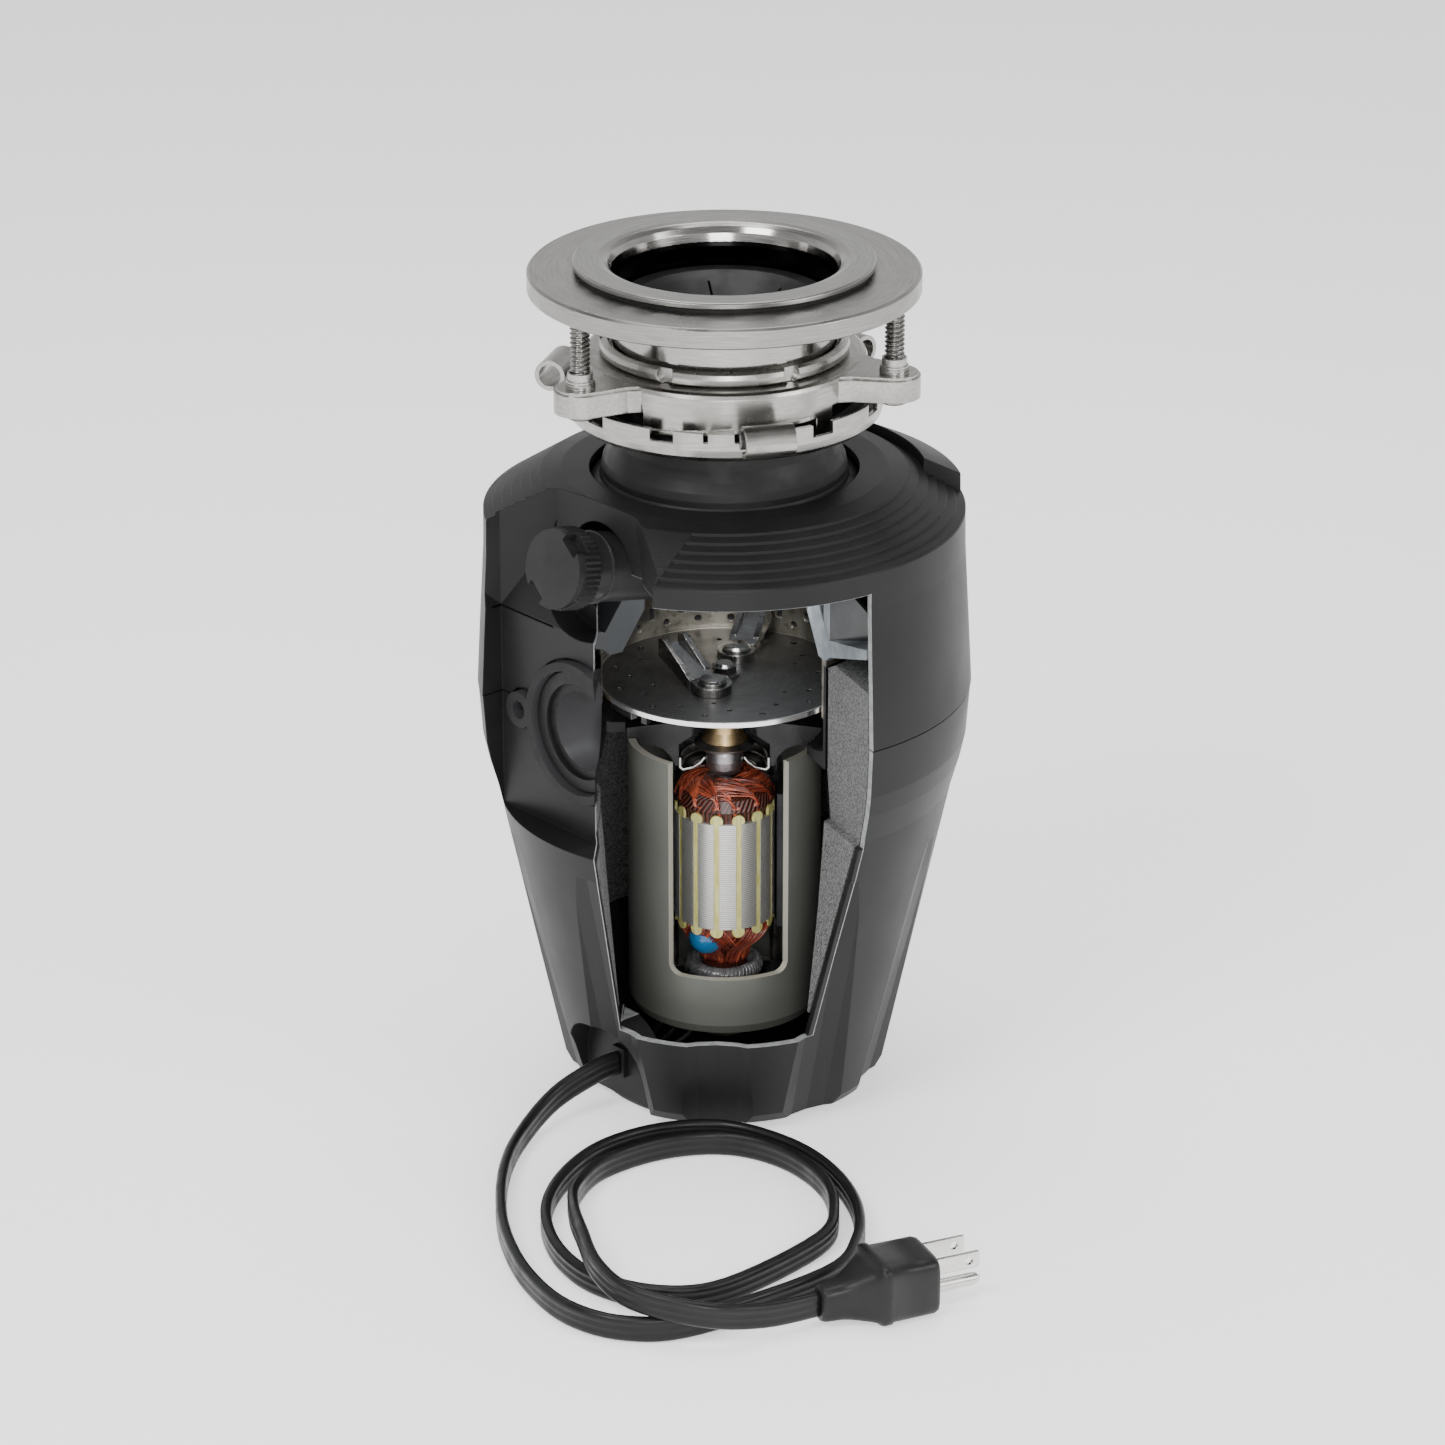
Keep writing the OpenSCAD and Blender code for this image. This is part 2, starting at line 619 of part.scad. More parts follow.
module outlet_gasket() color([0.08, 0.08, 0.08]) difference() {
    translate([outlet_face_x + outlet_seat_d - 2, 0, outlet_z]) rotate([0, 90, 0]) difference() {
        cylinder(r = outlet_seat_r - 0.8, h = 2, $fn = round_fn);
        translate([0, 0, -cut]) cylinder(r = outlet_bore_r + 3.4, h = 4, $fn = round_fn);
    }
    display_wedge(100, 200);
}

// Perforated steel ring with a turned-out top edge; round holes and slots take turns
module grind_ring() color([0.6, 0.58, 0.54]) difference() {
    turned([[ring_r, turntable_z - 4], [ring_r + 1.4, turntable_z - 4],
            [ring_r + 1.4, ring_top_z - 0.9], [ring_r + 3.4, ring_top_z - 0.9],
            [ring_r + 3.4, ring_top_z + 1], [ring_r, ring_top_z + 1]]);
    hole_step = 15;
    for (i = [0 : 360 / hole_step - 1]) {
        around(hole_step * i, ring_r - 3, turntable_z + 13.4) rotate([0, 90, 0])
            cylinder(r = 2.1, h = 6, $fn = round_fn);
        around(hole_step * (i + 0.5), ring_r - 3, turntable_z + 8.4) rotate([0, 90, 0])
            if (i % 2 == 0) cylinder(r = 1.9, h = 6, $fn = round_fn);
            else translate([-2.6, -1.3, 0]) cube([5.2, 2.6, 6]);
        around(hole_step * i, ring_r - 3, turntable_z + 4) rotate([0, 90, 0])
            cylinder(r = 1.5, h = 6, $fn = round_fn);
    }
    display_wedge(150, 200);
}

module dishwasher_inlet() color([0.12, 0.12, 0.13]) translate(spout_root)
    rotate([0, -90 + spout_tilt, 0]) difference() {
        union() {
            translate([0, 0, -21]) cylinder(r = spout_body_r, h = 21 + cap_x - cap_len + 1.6, $fn = round_fn);
            translate([0, 0, 12]) cylinder(r = spout_r, h = cap_x - 12 - 1, $fn = round_fn);
            translate([0, 0, 5]) cylinder(r = spout_body_r + 0.6, h = 1.2, $fn = round_fn);
        }
        translate([0, 0, -30]) cylinder(r = 8.6, h = 90, $fn = round_fn);
        // Ends flush with the hopper's inner wall
        rotate([0, 90 - spout_tilt, 0]) translate(-spout_root)
            translate([0, 0, 190]) cylinder(r = 41.4, h = 70, $fn = round_fn);
    }

// Knurled outline of the cap
function knurl(n, r, d) = [for (i = [0 : 2 * n - 1])
    (r - (i % 2) * d) * [cos(180 * i / n), sin(180 * i / n)]];

module inlet_cap() color([0.14, 0.14, 0.15]) translate(spout_root)
    rotate([0, -90 + spout_tilt, 0]) translate([0, 0, cap_x - cap_len + 2]) difference() {
        union() {
            linear_extrude(cap_len - 3) polygon(knurl(44, cap_r, 0.7));
            cylinder(r = cap_r - 0.7, h = cap_len, $fn = round_fn);
        }
        translate([0, 0, -cut]) cylinder(r = spout_r + run_gap, h = cap_len - 2.4 + cut, $fn = round_fn);
        for (s = [0, 180]) rotate([0, 0, s + 145]) translate([cap_r - 4.2, -4.6, cap_len - 5.4])
            cube([10, 9.2, 10]);
    }

module turntable() color([0.55, 0.55, 0.54]) difference() {
    union() {
        turned([[0, turntable_z - 2], [turntable_r, turntable_z - 2], [turntable_r, turntable_z],
                [0, turntable_z]]);
        // Cutting teeth under the rim
        for (i = [0 : 2]) around(120 * i + view_a - 38) for (t = [[-17.6, 14, 3.4], [-2, 2.6, 3.6]])
            rotate([0, 0, t[0]]) translate([turntable_r - 4.2, -t[1] / 2, turntable_z - 2 - t[2]])
                cube([2.6, t[1], t[2] + 0.5]);
    }
    for (i = [0 : 11]) around(30 * i + 8, turntable_r - 7, turntable_z - 4)
        cylinder(r = 1.3, h = 8, $fn = round_fn);
    for (i = [0 : 11]) around(30 * i + 21, turntable_r - 13, turntable_z - 4)
        cylinder(r = 1.1, h = 8, $fn = round_fn);
    for (i = [0 : 5]) around(60 * i + 40, turntable_r - 20, turntable_z - 4)
        cylinder(r = 0.9, h = 8, $fn = round_fn);
    translate([0, 0, turntable_z - 5]) cylinder(r = shaft_r, h = 8, $fn = round_fn);
    for (a = pivot_angles) around(a, pivot_r, turntable_z - 5)
        cylinder(r = 2.5, h = 8, $fn = round_fn);
}

module impeller_rivets() color("silver") for (a = pivot_angles) around(a, pivot_r) {
    translate([0, 0, turntable_z - 3.2]) cylinder(r = 2.5, h = 7.8, $fn = round_fn);
    translate([0, 0, turntable_z - 4]) cylinder(r = 4.2, h = 2, $fn = round_fn);
    turned([[0, turntable_z + 3.75], [5.6, turntable_z + 3.75], [5.6, turntable_z + 4.6],
            [4.6, turntable_z + 5.6], [0, turntable_z + 5.9]]);
}

// A swivel hammer: a foot around the rivet and a ribbed arm that rises to its tip
module impeller(turn) {
    arm = 27;
    arm_half = 5.8;
    foot_z = turntable_z + 0.1;
    rotate([0, 0, turn]) difference() {
        union() {
            translate([0, 0, foot_z]) cylinder(r = 7.6, h = 3.6, $fn = round_fn);
            rotate([90, 0, 0]) translate([0, 0, -arm_half]) linear_extrude(2 * arm_half)
                polygon([[6.6, foot_z], [8.6, foot_z], [arm, foot_z + 7.5], [arm, foot_z + 11.5],
                         [arm - 2.2, foot_z + 12.4], [7, foot_z + 3.6], [6.6, foot_z + 3.6]]);
            for (s = [-1, 1]) rotate([90, 0, 0]) translate([0, 0, s * (arm_half - 1.1) - 1.1])
                linear_extrude(2.2) polygon([[8, foot_z + 2], [arm, foot_z + 9], [arm, foot_z + 14.4],
                    [arm - 3, foot_z + 15], [9.6, foot_z + 5.4]]);
        }
        translate([0, 0, foot_z - cut]) cylinder(r = 2.55, h = 8, $fn = round_fn);
        translate([0, 0, foot_z + 3.6]) cylinder(r = 6.2, h = 12, $fn = round_fn);
    }
}

module impeller_a() color([0.5, 0.5, 0.5]) around(pivot_angles[0], pivot_r) impeller(-128);

module impeller_b() color([0.5, 0.5, 0.5]) around(pivot_angles[1], pivot_r) impeller(-4);

// ======== Rotor ========

module hub_nut() color("silver") difference() {
    union() {
        translate([0, 0, turntable_z]) cylinder(r = 6, h = 1, $fn = round_fn);
        translate([0, 0, turntable_z + 1]) cylinder(r = 4.9, h = 3, $fn = 6);
        translate([0, 0, turntable_z + 4]) cylinder(r1 = 4.1, r2 = 3.2, h = 1, $fn = round_fn);
    }
    translate([0, 0, turntable_z - cut]) cylinder(r = shaft_r - 1, h = 4.4 + cut, $fn = round_fn);
}

module hub_spool() color([0.72, 0.6, 0.36]) turned([
    [shaft_r, spool_z0], [9, spool_z0], [8.2, spool_z0 + 1.6], [7, spool_z0 + 4], [6.5, spool_z0 + 8],
    [6.6, turntable_z - 8], [11, turntable_z - 4.4], [11, turntable_z - 2], [shaft_r, turntable_z - 2]]);

module slinger_washer() color("silver") turned([
    [shaft_r, spool_z0 - 1.4], [9.4, spool_z0 - 1.4], [11.4, spool_z0 - 2.4], [11.8, spool_z0 - 1.6],
    [9.6, spool_z0], [shaft_r, spool_z0]]);

module rotor_shaft() color([0.75, 0.75, 0.76]) {
    translate([0, 0, 19.6]) cylinder(r = shaft_r, h = turntable_z - 19.6, $fn = round_fn);
    translate([0, 0, turntable_z - 0.01]) cylinder(r = shaft_r - 1, h = 4.41, $fn = round_fn);
}

module armature_core() color("silver") difference() {
    translate([0, 0, core_z0]) cylinder(r = core_r, h = core_z1 - core_z0, $fn = round_fn);
    translate([0, 0, core_z0 - cut]) cylinder(r = shaft_r, h = 60, $fn = round_fn);
    for (i = [0 : slot_count - 1]) around(slot_angle(i)) {
        translate([core_r - 4, 0, core_z0 - cut]) cylinder(r = 2.1, h = 60, $fn = round_fn);
        translate([core_r - 4, -1.1, core_z0 - cut]) cube([8, 2.2, 60]);
    }
}

function slot_angle(i) = view_a - 9 + 360 / slot_count * i;

// Paper strips that close the slots; their round tips stand past the core's ends
module slot_liners() color([0.85, 0.82, 0.5]) for (i = [0 : slot_count - 1]) around(slot_angle(i)) {
    tip_r = core_r - 1.3;
    translate([core_r - 4, 0, core_z0]) cylinder(r = 2.05, h = core_z1 - core_z0, $fn = round_fn);
    translate([core_r - 3.4, -1.05, core_z0]) cube([3.1, 2.1, core_z1 - core_z0]);
    translate([tip_r, -1.05, core_z0 - 1.6]) cube([1, 2.1, core_z1 - core_z0 + 3.2]);
    difference() {
        for (z = [core_z0 - 1.2, core_z1 + 1.2]) translate([tip_r, 0, z]) rotate([0, 90, 0])
            cylinder(r = 2.5, h = 1, $fn = round_fn);
        translate([tip_r - cut, -5, core_z0]) cube([4, 10, core_z1 - core_z0]);
    }
}

module top_windings() color([0.72, 0.28, 0.18]) turned([
    [shaft_r, core_z1], [18.1, core_z1], [18.2, core_z1 + 3.9], [20, core_z1 + 5], [18.4, core_z1 + 9.4],
    [15, core_z1 + 12.4], [11, core_z1 + 13.8], [shaft_r + 3, core_z1 + 14.2],
    [shaft_r, core_z1 + 13.6]]);

module bottom_windings() color([0.62, 0.22, 0.14]) turned([
    [shaft_r, core_z0], [17.6, core_z0], [17.8, core_z0 - 3.4], [16.6, core_z0 - 7], [13.4, core_z0 - 10.6],
    [9.8, core_z0 - 14], [8.8, core_z0 - 19], [8.6, comm_z1], [shaft_r, comm_z1]]);

module balance_epoxy() color([0.12, 0.45, 0.68]) difference() {
    around(view_a - 34, 12.5, core_z0 - 6.6) sphere(r = 7.2, $fn = 48);
    turned([[0, core_z0], [17.6, core_z0], [17.8, core_z0 - 3.4], [16.6, core_z0 - 7],
            [13.4, core_z0 - 10.6], [9.8, core_z0 - 14], [8.8, core_z0 - 19], [8.6, comm_z1],
            [0, comm_z1]]);
    translate([0, 0, core_z0 - 3.8]) cylinder(r = 30, h = 20, $fn = round_fn);
}

module commutator() color([0.7, 0.45, 0.3]) difference() {
    translate([0, 0, comm_z0]) cylinder(r = comm_r, h = comm_z1 - comm_z0, $fn = round_fn);
    translate([0, 0, comm_z0 - cut]) cylinder(r = shaft_r, h = 20, $fn = round_fn);
    for (i = [0 : 2 * slot_count - 1]) around(180 / slot_count * i)
        translate([comm_r - 0.9, -0.2, comm_z0 - cut]) cube([2, 0.4, 20]);
}

module commutator_leads() color([0.42, 0.43, 0.44])
    rotate_extrude($fn = round_fn) translate([12.1, 44.4]) circle(r = 3, $fn = 48);

// ======== Motor ========

module can_window(z0) sector(80, z0, 200, can_window_a - can_window_half, can_window_a + can_window_half);

module end_cut() sector(80, 20, 200, view_a - end_cut_half, view_a + end_cut_half);

module motor_can() color([0.42, 0.43, 0.4]) difference() {
    turned([[9.1, can_z0], [can_r - 5, can_z0], [can_r - 1.5, can_z0 + 1.4], [can_r, can_z0 + 5],
            [can_r, can_z1], [can_r - 3, can_z1], [can_r - 3, can_z0 + 3], [9.1, can_z0 + 3]]);
    intersection() {
        can_window(can_window_z);
        // The window's lower corners are round
        union() {
            sector(80, can_window_z + 5, 200, can_window_a - can_window_half, can_window_a + can_window_half);
            sector(80, can_window_z, can_window_z + 6, can_window_a - can_window_half + 6,
                can_window_a + can_window_half - 6);
            for (s = [-1, 1]) around(can_window_a + s * (can_window_half - 7.6), 30, can_window_z + 5)
                rotate([0, 90, 0]) cylinder(r = 5, h = 20, $fn = round_fn);
        }
    }
    for (a = bolt_angles) around(a, bolt_r, can_z0 - cut) cylinder(r = 2, h = 6, $fn = round_fn);
}

// Two curved magnets, on either side of the window
module magnets() color([0.16, 0.16, 0.18]) for (a = [view_a + 90, view_a - 90]) difference() {
    intersection() {
        ring(core_r + 1, can_r - 3, core_z0 - 6, core_z1 + 6);
        sector(80, 0, 200, a - 42, a + 42);
    }
    end_cut();
}

// A bell over the upper end of the can, which hollows down to the bush
module upper_end_frame() color([0.09, 0.09, 0.1]) difference() {
    turned([[17.8, 130], [19.4, 130], [21, 134], [24, 137.4], [28, 139.4], [can_r - 3.1, 139.4],
            [can_r - 3.1, can_z1], [can_r + 0.3, can_z1], [can_r + 0.3, 147.2], [16, 148.6],
            [12.6, 148.6], [12.6, 142.4], [17.8, 139]]);
    end_cut();
    for (a = bolt_angles) around(a, bolt_r, 130) cylinder(r = 2, h = 16, $fn = round_fn);
}

// A self-aligning bush: a ball-shaped outside around the shaft
module upper_bearing() color([0.55, 0.52, 0.53]) turned([
    [shaft_r + run_gap, bearing_z0], [5.6, bearing_z0], [6.9, bearing_z0 + 2.4], [7.4, bearing_z0 + 5.8],
    [7.1, bearing_z0 + 8.6], [6.2, bearing_z1], [shaft_r + run_gap, bearing_z1]]);

// A thin pressed dish that holds the bush in the end frame
module bearing_retainer() color("silver") difference() {
    turned([[7.5, 132.8], [9, 130.6], [12, 128.6], [16.4, 128], [17.7, 129.2], [17.7, 133.4],
            [17, 133.4], [17, 129.7], [16.2, 128.8], [12.2, 129.4], [9.5, 131.4], [7.9, 133.4]]);
    end_cut();
}

module shaft_seal() color([0.07, 0.07, 0.07]) difference() {
    turned([[11.9, 144], [12.58, 144], [12.58, 148.2], [10.4, 150.8], [8.6, 151.6], [7.2, 151],
            [7.2, 150.2], [8.6, 150.6], [9.8, 149.8], [11.9, 147.6]]);
    end_cut();
}

module lower_end_bell() color([0.35, 0.36, 0.34]) turned([
    [0, 16], [8, 16], [11.6, 18.4], [13, 22], [13, can_z0 - 1.6], [18, can_z0], [8.05, can_z0],
    [8.05, 19], [0, 19]]);

module lower_bearing() color([0.6, 0.48, 0.32]) turned([
    [shaft_r + run_gap, 19.4], [8, 19.4], [8, can_z0 + 2.4], [shaft_r + run_gap, can_z0 + 2.4]]);

module brush_holders() color([0.3, 0.2, 0.12]) for (s = [0, 180]) around(brush_a_dir + s) difference() {
    translate([15.6, -4.6, can_z0 + 3]) cube([can_r - 19.6, 9.2, brush_z + 5 - can_z0 - 3]);
    translate([15, -2.55, brush_z - 2.55]) cube([30, 5.1, 5.1]);
}

module brush() translate([comm_r + 0.1, -2.5, brush_z - 2.5]) cube([12.5, 5, 5]);

module brush_a() color([0.12, 0.12, 0.12]) around(brush_a_dir) brush();

module brush_b() color([0.12, 0.12, 0.12]) around(brush_a_dir + 180) brush();

// One closed solid for the coiled spring behind each brush
module brush_springs() color([0.7, 0.62, 0.4]) for (s = [0, 180]) around(brush_a_dir + s)
    translate([comm_r + 12.6, 0, brush_z]) rotate([0, 90, 0]) cylinder(r = 2, h = 12, $fn = round_fn);

// ======== Base ========

module base_cover() color([0.1, 0.1, 0.1]) difference() {
    turned([[0, 0], [50.2, 0], [51, 0.8], [51, housing_z0], [41.6, housing_z0], [41.6, housing_z0 + 2],
            [0, housing_z0 + 2]]);
    translate([button_at[0], button_at[1], -cut]) cylinder(r = 4.05, h = 12, $fn = round_fn);
    for (i = [0 : 3]) around(45 + 90 * i, screw_r, -cut) {
        cylinder(r = 1.5, h = 12, $fn = round_fn);
        cylinder(r = 3.3, h = 2.6, $fn = round_fn);
    }
}

// Through-bolts of the motor and screws of the base cover
module case_screws() color([0.62, 0.62, 0.62]) {
    for (a = bolt_angles) around(a, bolt_r) {
        translate([0, 0, can_z0 - 0.5]) cylinder(r = 2, h = 146.5 - can_z0, $fn = round_fn);
        translate([0, 0, can_z0 - 3.2]) cylinder(r = 4, h = 3.2, $fn = 6);
    }
    for (i = [0 : 3]) around(45 + 90 * i, screw_r) {
        translate([0, 0, 0.3]) cylinder(r = 3, h = 1.3, $fn = round_fn);
        translate([0, 0, 1.5]) cylinder(r = 1.45, h = 5.2, $fn = round_fn);
    }
}

module overload_protector() color([0.12, 0.1, 0.1]) translate([button_at[0], button_at[1], 0])
    difference() {
        translate([-9, -8, housing_z0 + 2]) cube([18, 16, 10]);
        translate([0, 0, 2]) cylinder(r = 4.05, h = 8.6, $fn = round_fn);
    }

module reset_button() color([0.72, 0.08, 0.06]) translate([button_at[0], button_at[1], 0.8])
    cylinder(r = 4, h = 6, $fn = round_fn);

// A rectangular grommet in the cord hole, with a wider clamp inside the wall
module strain_relief() color([0.07, 0.07, 0.07]) translate([-56, 0, exit_z]) rotate([0, 90, 0]) {
    linear_extrude(11) square([12.2, 6.6], center = true);
    translate([0, 0, 5.1]) linear_extrude(5.9) square([12.2, 10.6], center = true);
}

// Three insulated leads from the strain relief to the foot of the motor
module lead_wires() color([0.1, 0.1, 0.1]) for (k = [-1 : 1]) {
    pts = [[-45, 3.6 * k, exit_z], [-41, 3.8 * k, exit_z], [-36, 5 * k, exit_z + 1],
           [-30, 7 * k, exit_z + 3], [-26, 8 * k, exit_z + 5.5], [-24.4, 8.6 * k, can_z0 - 2.5],
           [-24.1, 8.6 * k, can_z0 - 0.15]];
    sweep(smooth(pts, 2), lead_r, lead_r, 8);
}

// ======== Cord and plug ========

// A point on a Catmull-Rom curve between p[1] and p[2]
function curve(p, t) = 0.5 * (2 * p[1] + (p[2] - p[0]) * t
    + (2 * p[0] - 5 * p[1] + 4 * p[2] - p[3]) * t * t
    + (3 * p[1] - p[0] - 3 * p[2] + p[3]) * t * t * t);

// The route with a given number of pieces between each pair of its points
function smooth(route, pieces) = let (n = len(route)) concat(
    [for (i = [0 : n - 2]) for (k = [0 : pieces - 1])
        curve([route[max(i - 1, 0)], route[i], route[i + 1], route[min(i + 2, n - 1)]], k / pieces)],
    [route[n - 1]]);

function unit(v) = v / norm(v);

// Rings of points around a line; the section stands on its edge
function sweep_points(line, half_w, half_t, sides) = let (n = len(line)) [
    for (i = [0 : n - 1]) let (
        along = unit(line[min(i + 1, n - 1)] - line[max(i - 1, 0)]),
        across = unit(cross(along, [0, 0, 1])),
        up = cross(across, along))
    for (k = [0 : sides - 1]) let (a = 360 * (k + 0.5) / sides)
        line[i] + across * half_t * cos(a) + up * half_w * sin(a)];

// A solid tube along a line
module sweep(line, half_w, half_t, sides) {
    n = len(line);
    polyhedron(points = sweep_points(line, half_w, half_t, sides),
        faces = concat([[for (k = [0 : sides - 1]) k]],
            [for (i = [0 : n - 2]) for (k = [0 : sides - 1]) let (m = (k + 1) % sides)
                [i * sides + k, (i + 1) * sides + k, (i + 1) * sides + m, i * sides + m]],
            [[for (k = [sides - 1 : -1 : 0]) (n - 1) * sides + k]]));
}

module cord() color([0.06, 0.06, 0.06])
    sweep(smooth(cord_route, cord_steps), cord_w / 2, cord_t / 2, cord_sides);

// Places its children at the plug: +X runs out along the blades, Z is height above the floor
module at_plug() translate([-117, -181, 0]) rotate([0, 0, plug_dir]) children();

// One cross-section slice of the plug's grip
module plug_slice(x, half_w, z0, z1, bevel) translate([x, 0, 0]) rotate([90, 0, 90])
    linear_extrude(0.2) polygon([[-half_w + bevel, z0], [half_w - bevel, z0], [half_w, z0 + bevel],
        [half_w, z1 - bevel], [half_w - bevel, z1], [-half_w + bevel, z1], [-half_w, z1 - bevel],
        [-half_w, z0 + bevel]]);

module plug_body() color([0.08, 0.08, 0.08]) at_plug() {
    hull() {
        plug_slice(0, 4.8, 2.2, 15.8, 1.6);
        plug_slice(8, 6.2, 2, 17, 2);
    }
    hull() {
        plug_slice(8, 6.2, 2, 17, 2);
        plug_slice(21, plug_half_w, 0, plug_h, 3.4);
    }
    hull() {
        plug_slice(21, plug_half_w, 0, plug_h, 3.4);
        plug_slice(plug_len - 0.2, plug_half_w - 0.8, 0.4, plug_h - 0.6, 3);
    }
}

// Two flat blades and the round ground pin
module plug_prongs() color([0.75, 0.76, 0.77]) at_plug() {
    for (s = [-1, 1]) difference() {
        translate([plug_len, s * blade_off - 0.75, blade_z - 3.15]) cube([17.6, 1.5, 6.3]);
        translate([plug_len + 13.6, s * blade_off, blade_z]) rotate([90, 0, 0]) translate([0, 0, -5])
            cylinder(r = 1.6, h = 10, $fn = round_fn);
    }
    translate([plug_len, 0, ground_z]) rotate([0, 90, 0])
        turned([[0, 0], [2.4, 0], [2.4, 18.6], [2.1, 20], [1.2, 21.1], [0, 21.4]]);
}

// ======== Assembly ========

sink_flange();
flange_gasket();
support_plate();
splash_baffle();
snap_ring();
upper_mount_ring();
mount_studs();
stud_collars();
lock_ring();
neck_cushion();
upper_housing();
upper_shoulder();
lower_rim();
lower_housing();
lower_base();
sound_foam();
hopper();
hopper_neck();
hopper_ribs();
discharge_chamber();
grind_ring();
outlet_gasket();
dishwasher_inlet();
inlet_cap();
turntable();
impeller_rivets();
impeller_a();
impeller_b();
hub_nut();
hub_spool();
slinger_washer();
rotor_shaft();
armature_core();
slot_liners();
top_windings();
bottom_windings();
balance_epoxy();
commutator();
commutator_leads();
motor_can();
magnets();
upper_end_frame();
upper_bearing();
bearing_retainer();
shaft_seal();
lower_end_bell();
lower_bearing();
brush_holders();
brush_a();
brush_b();
brush_springs();
overload_protector();
reset_button();
base_cover();
case_screws();
strain_relief();
lead_wires();
cord();
plug_body();
plug_prongs();
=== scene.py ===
import math
import random

import bpy
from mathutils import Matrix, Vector


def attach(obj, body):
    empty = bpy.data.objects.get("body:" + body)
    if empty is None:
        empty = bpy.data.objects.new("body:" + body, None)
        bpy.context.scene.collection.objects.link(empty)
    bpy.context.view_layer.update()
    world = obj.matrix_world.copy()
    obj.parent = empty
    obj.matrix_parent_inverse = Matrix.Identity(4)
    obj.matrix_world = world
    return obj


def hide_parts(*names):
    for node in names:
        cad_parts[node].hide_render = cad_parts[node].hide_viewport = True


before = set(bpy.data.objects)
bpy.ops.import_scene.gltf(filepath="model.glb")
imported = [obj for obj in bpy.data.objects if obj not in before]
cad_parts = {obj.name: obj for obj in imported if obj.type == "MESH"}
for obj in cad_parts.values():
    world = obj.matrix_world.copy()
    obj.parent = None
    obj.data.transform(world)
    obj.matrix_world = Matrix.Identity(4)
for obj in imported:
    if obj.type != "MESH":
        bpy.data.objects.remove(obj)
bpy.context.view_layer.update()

MM = 0.001
random.seed(7)

# Values shared with the CAD model, in millimetres and degrees

# The display cut: the way it faces, its two side planes, and its lower and upper level
VIEW_A = 228.0
AHEAD_X, AHEAD_Y = math.cos(math.radians(VIEW_A)), math.sin(math.radians(VIEW_A))
LEFT_OFF, LEFT_SLOPE, LEFT_TAPER = -45.8, -0.054, 0.1
RIGHT_OFF, RIGHT_SLOPE, RIGHT_TAPER = 22.8, 0.42, 0.155
TAPER_Z = 125.0
CUT_Z0, CUT_Z1 = 41.0, 229.5

# Levels at which one moulding is split between two nodes
SHELL_SEAMS = (41.0, 128.0, 237.0)
HOPPER_SEAMS = (209.0,)

# The rotor: turntable, ends of the core, and the ring of leads at the commutator
TURNTABLE_R = 49.4
CORE_Z0, CORE_Z1 = 67.6, 112.2
LEAD_RING_R, LEAD_LOOP_R, LEAD_RING_Z = 12.1, 2.75, 44.4

# The mounting studs: their circle, thread and head
STUD_ANGLES = (176.5, 296.5, 56.5)
STUD_PCR, STUD_R = 68.0, 3.9
STUD_Z0, STUD_Z1 = 290.0, 324.2
THREAD_PITCH, THREAD_DEPTH = 1.8, 0.85
STUD_HEAD = [(0.0, 287.4), (4.7, 287.4), (5.4, 288.0), (5.4, 289.9), (0.0, 290.0)]

# The cord, whose length alone is in metres, and its plug
CORD_W, CORD_T = 10.0, 4.2
CORE_OFFSETS = (-2.9, 0.0, 2.9)
CORD_ROUTE = [
    (-56, 0, 19), (-66, 2, 17.5), (-84, 5, 11), (-106, -2, 5.4), (-128, -18, 5.2),
    (-149, -40, 5.2), (-166, -64, 5.2), (-179, -92, 5.2), (-184, -120, 5.2), (-176, -143, 5.2),
    (-154, -157, 5.2), (-98, -164, 5.2), (-72, -153, 5.2), (-53, -133, 5.2), (-41, -107, 5.2),
    (-38, -80, 5.2), (-46, -53, 5.2), (-67, -37, 5.2), (-94, -33, 5.2), (-121, -42, 5.2),
    (-143, -59, 5.2), (-158, -84, 5.2), (-162, -110, 5.2), (-152, -134, 5.2), (-130, -146, 5.2),
    (-82, -143, 5.2), (-61, -129, 5.2), (-48, -109, 5.2), (-44, -83, 5.2), (-52, -60, 5.2),
    (-73, -46, 5.2), (-101, -43, 5.2), (-124, -54, 6.5), (-140, -72, 10.5), (-155, -94, 15.6),
    (-168, -118, 15.8), (-172, -142, 15.8), (-158, -165, 13), (-138, -175, 9.6), (-117, -181, 9)]
PLUG_AT = (-117.0, -181.0)
PLUG_DIR = -18.4
PLUG_LEN = 43.0

# Sections along the plug: x, half width, lowest and highest level, squareness
PLUG_SECTIONS = [
    (0, 4.2, 2.6, 15.4, 3), (1.2, 5.2, 2.2, 15.8, 3), (7, 6.0, 2.1, 16.6, 3.2),
    (10, 6.9, 1.9, 17.6, 3.6), (14, 8.8, 1.3, 19.6, 4), (17.5, 10.6, 0.8, 21.5, 4.5),
    (19.4, 11.8, 0.5, 22.6, 5), (20, 13.0, 0.1, 23.8, 6), (21, 13.45, 0.02, 24, 6.5),
    (23.6, 13.4, 0.05, 24, 6.5), (24.2, 12.7, 0.4, 23.4, 6), (36, 12.6, 0.5, 23.3, 6),
    (41, 12.6, 0.5, 23.3, 6), (42.6, 12.1, 0.9, 22.9, 5.5), (PLUG_LEN, 11.3, 1.6, 22.2, 5)]


# ---- Camera, lights and floor

# Place in metres, angles in degrees, and the lens for a sensor 36 mm wide
CAMERA_AT = (-1.2567, -1.3957, 0.93187)
CAMERA_DOWN, CAMERA_TURN = 22.673, -42
CAMERA_LENS, CAMERA_SHIFT = 130.7, -0.0013
FLOOR_GLOW = 0.75


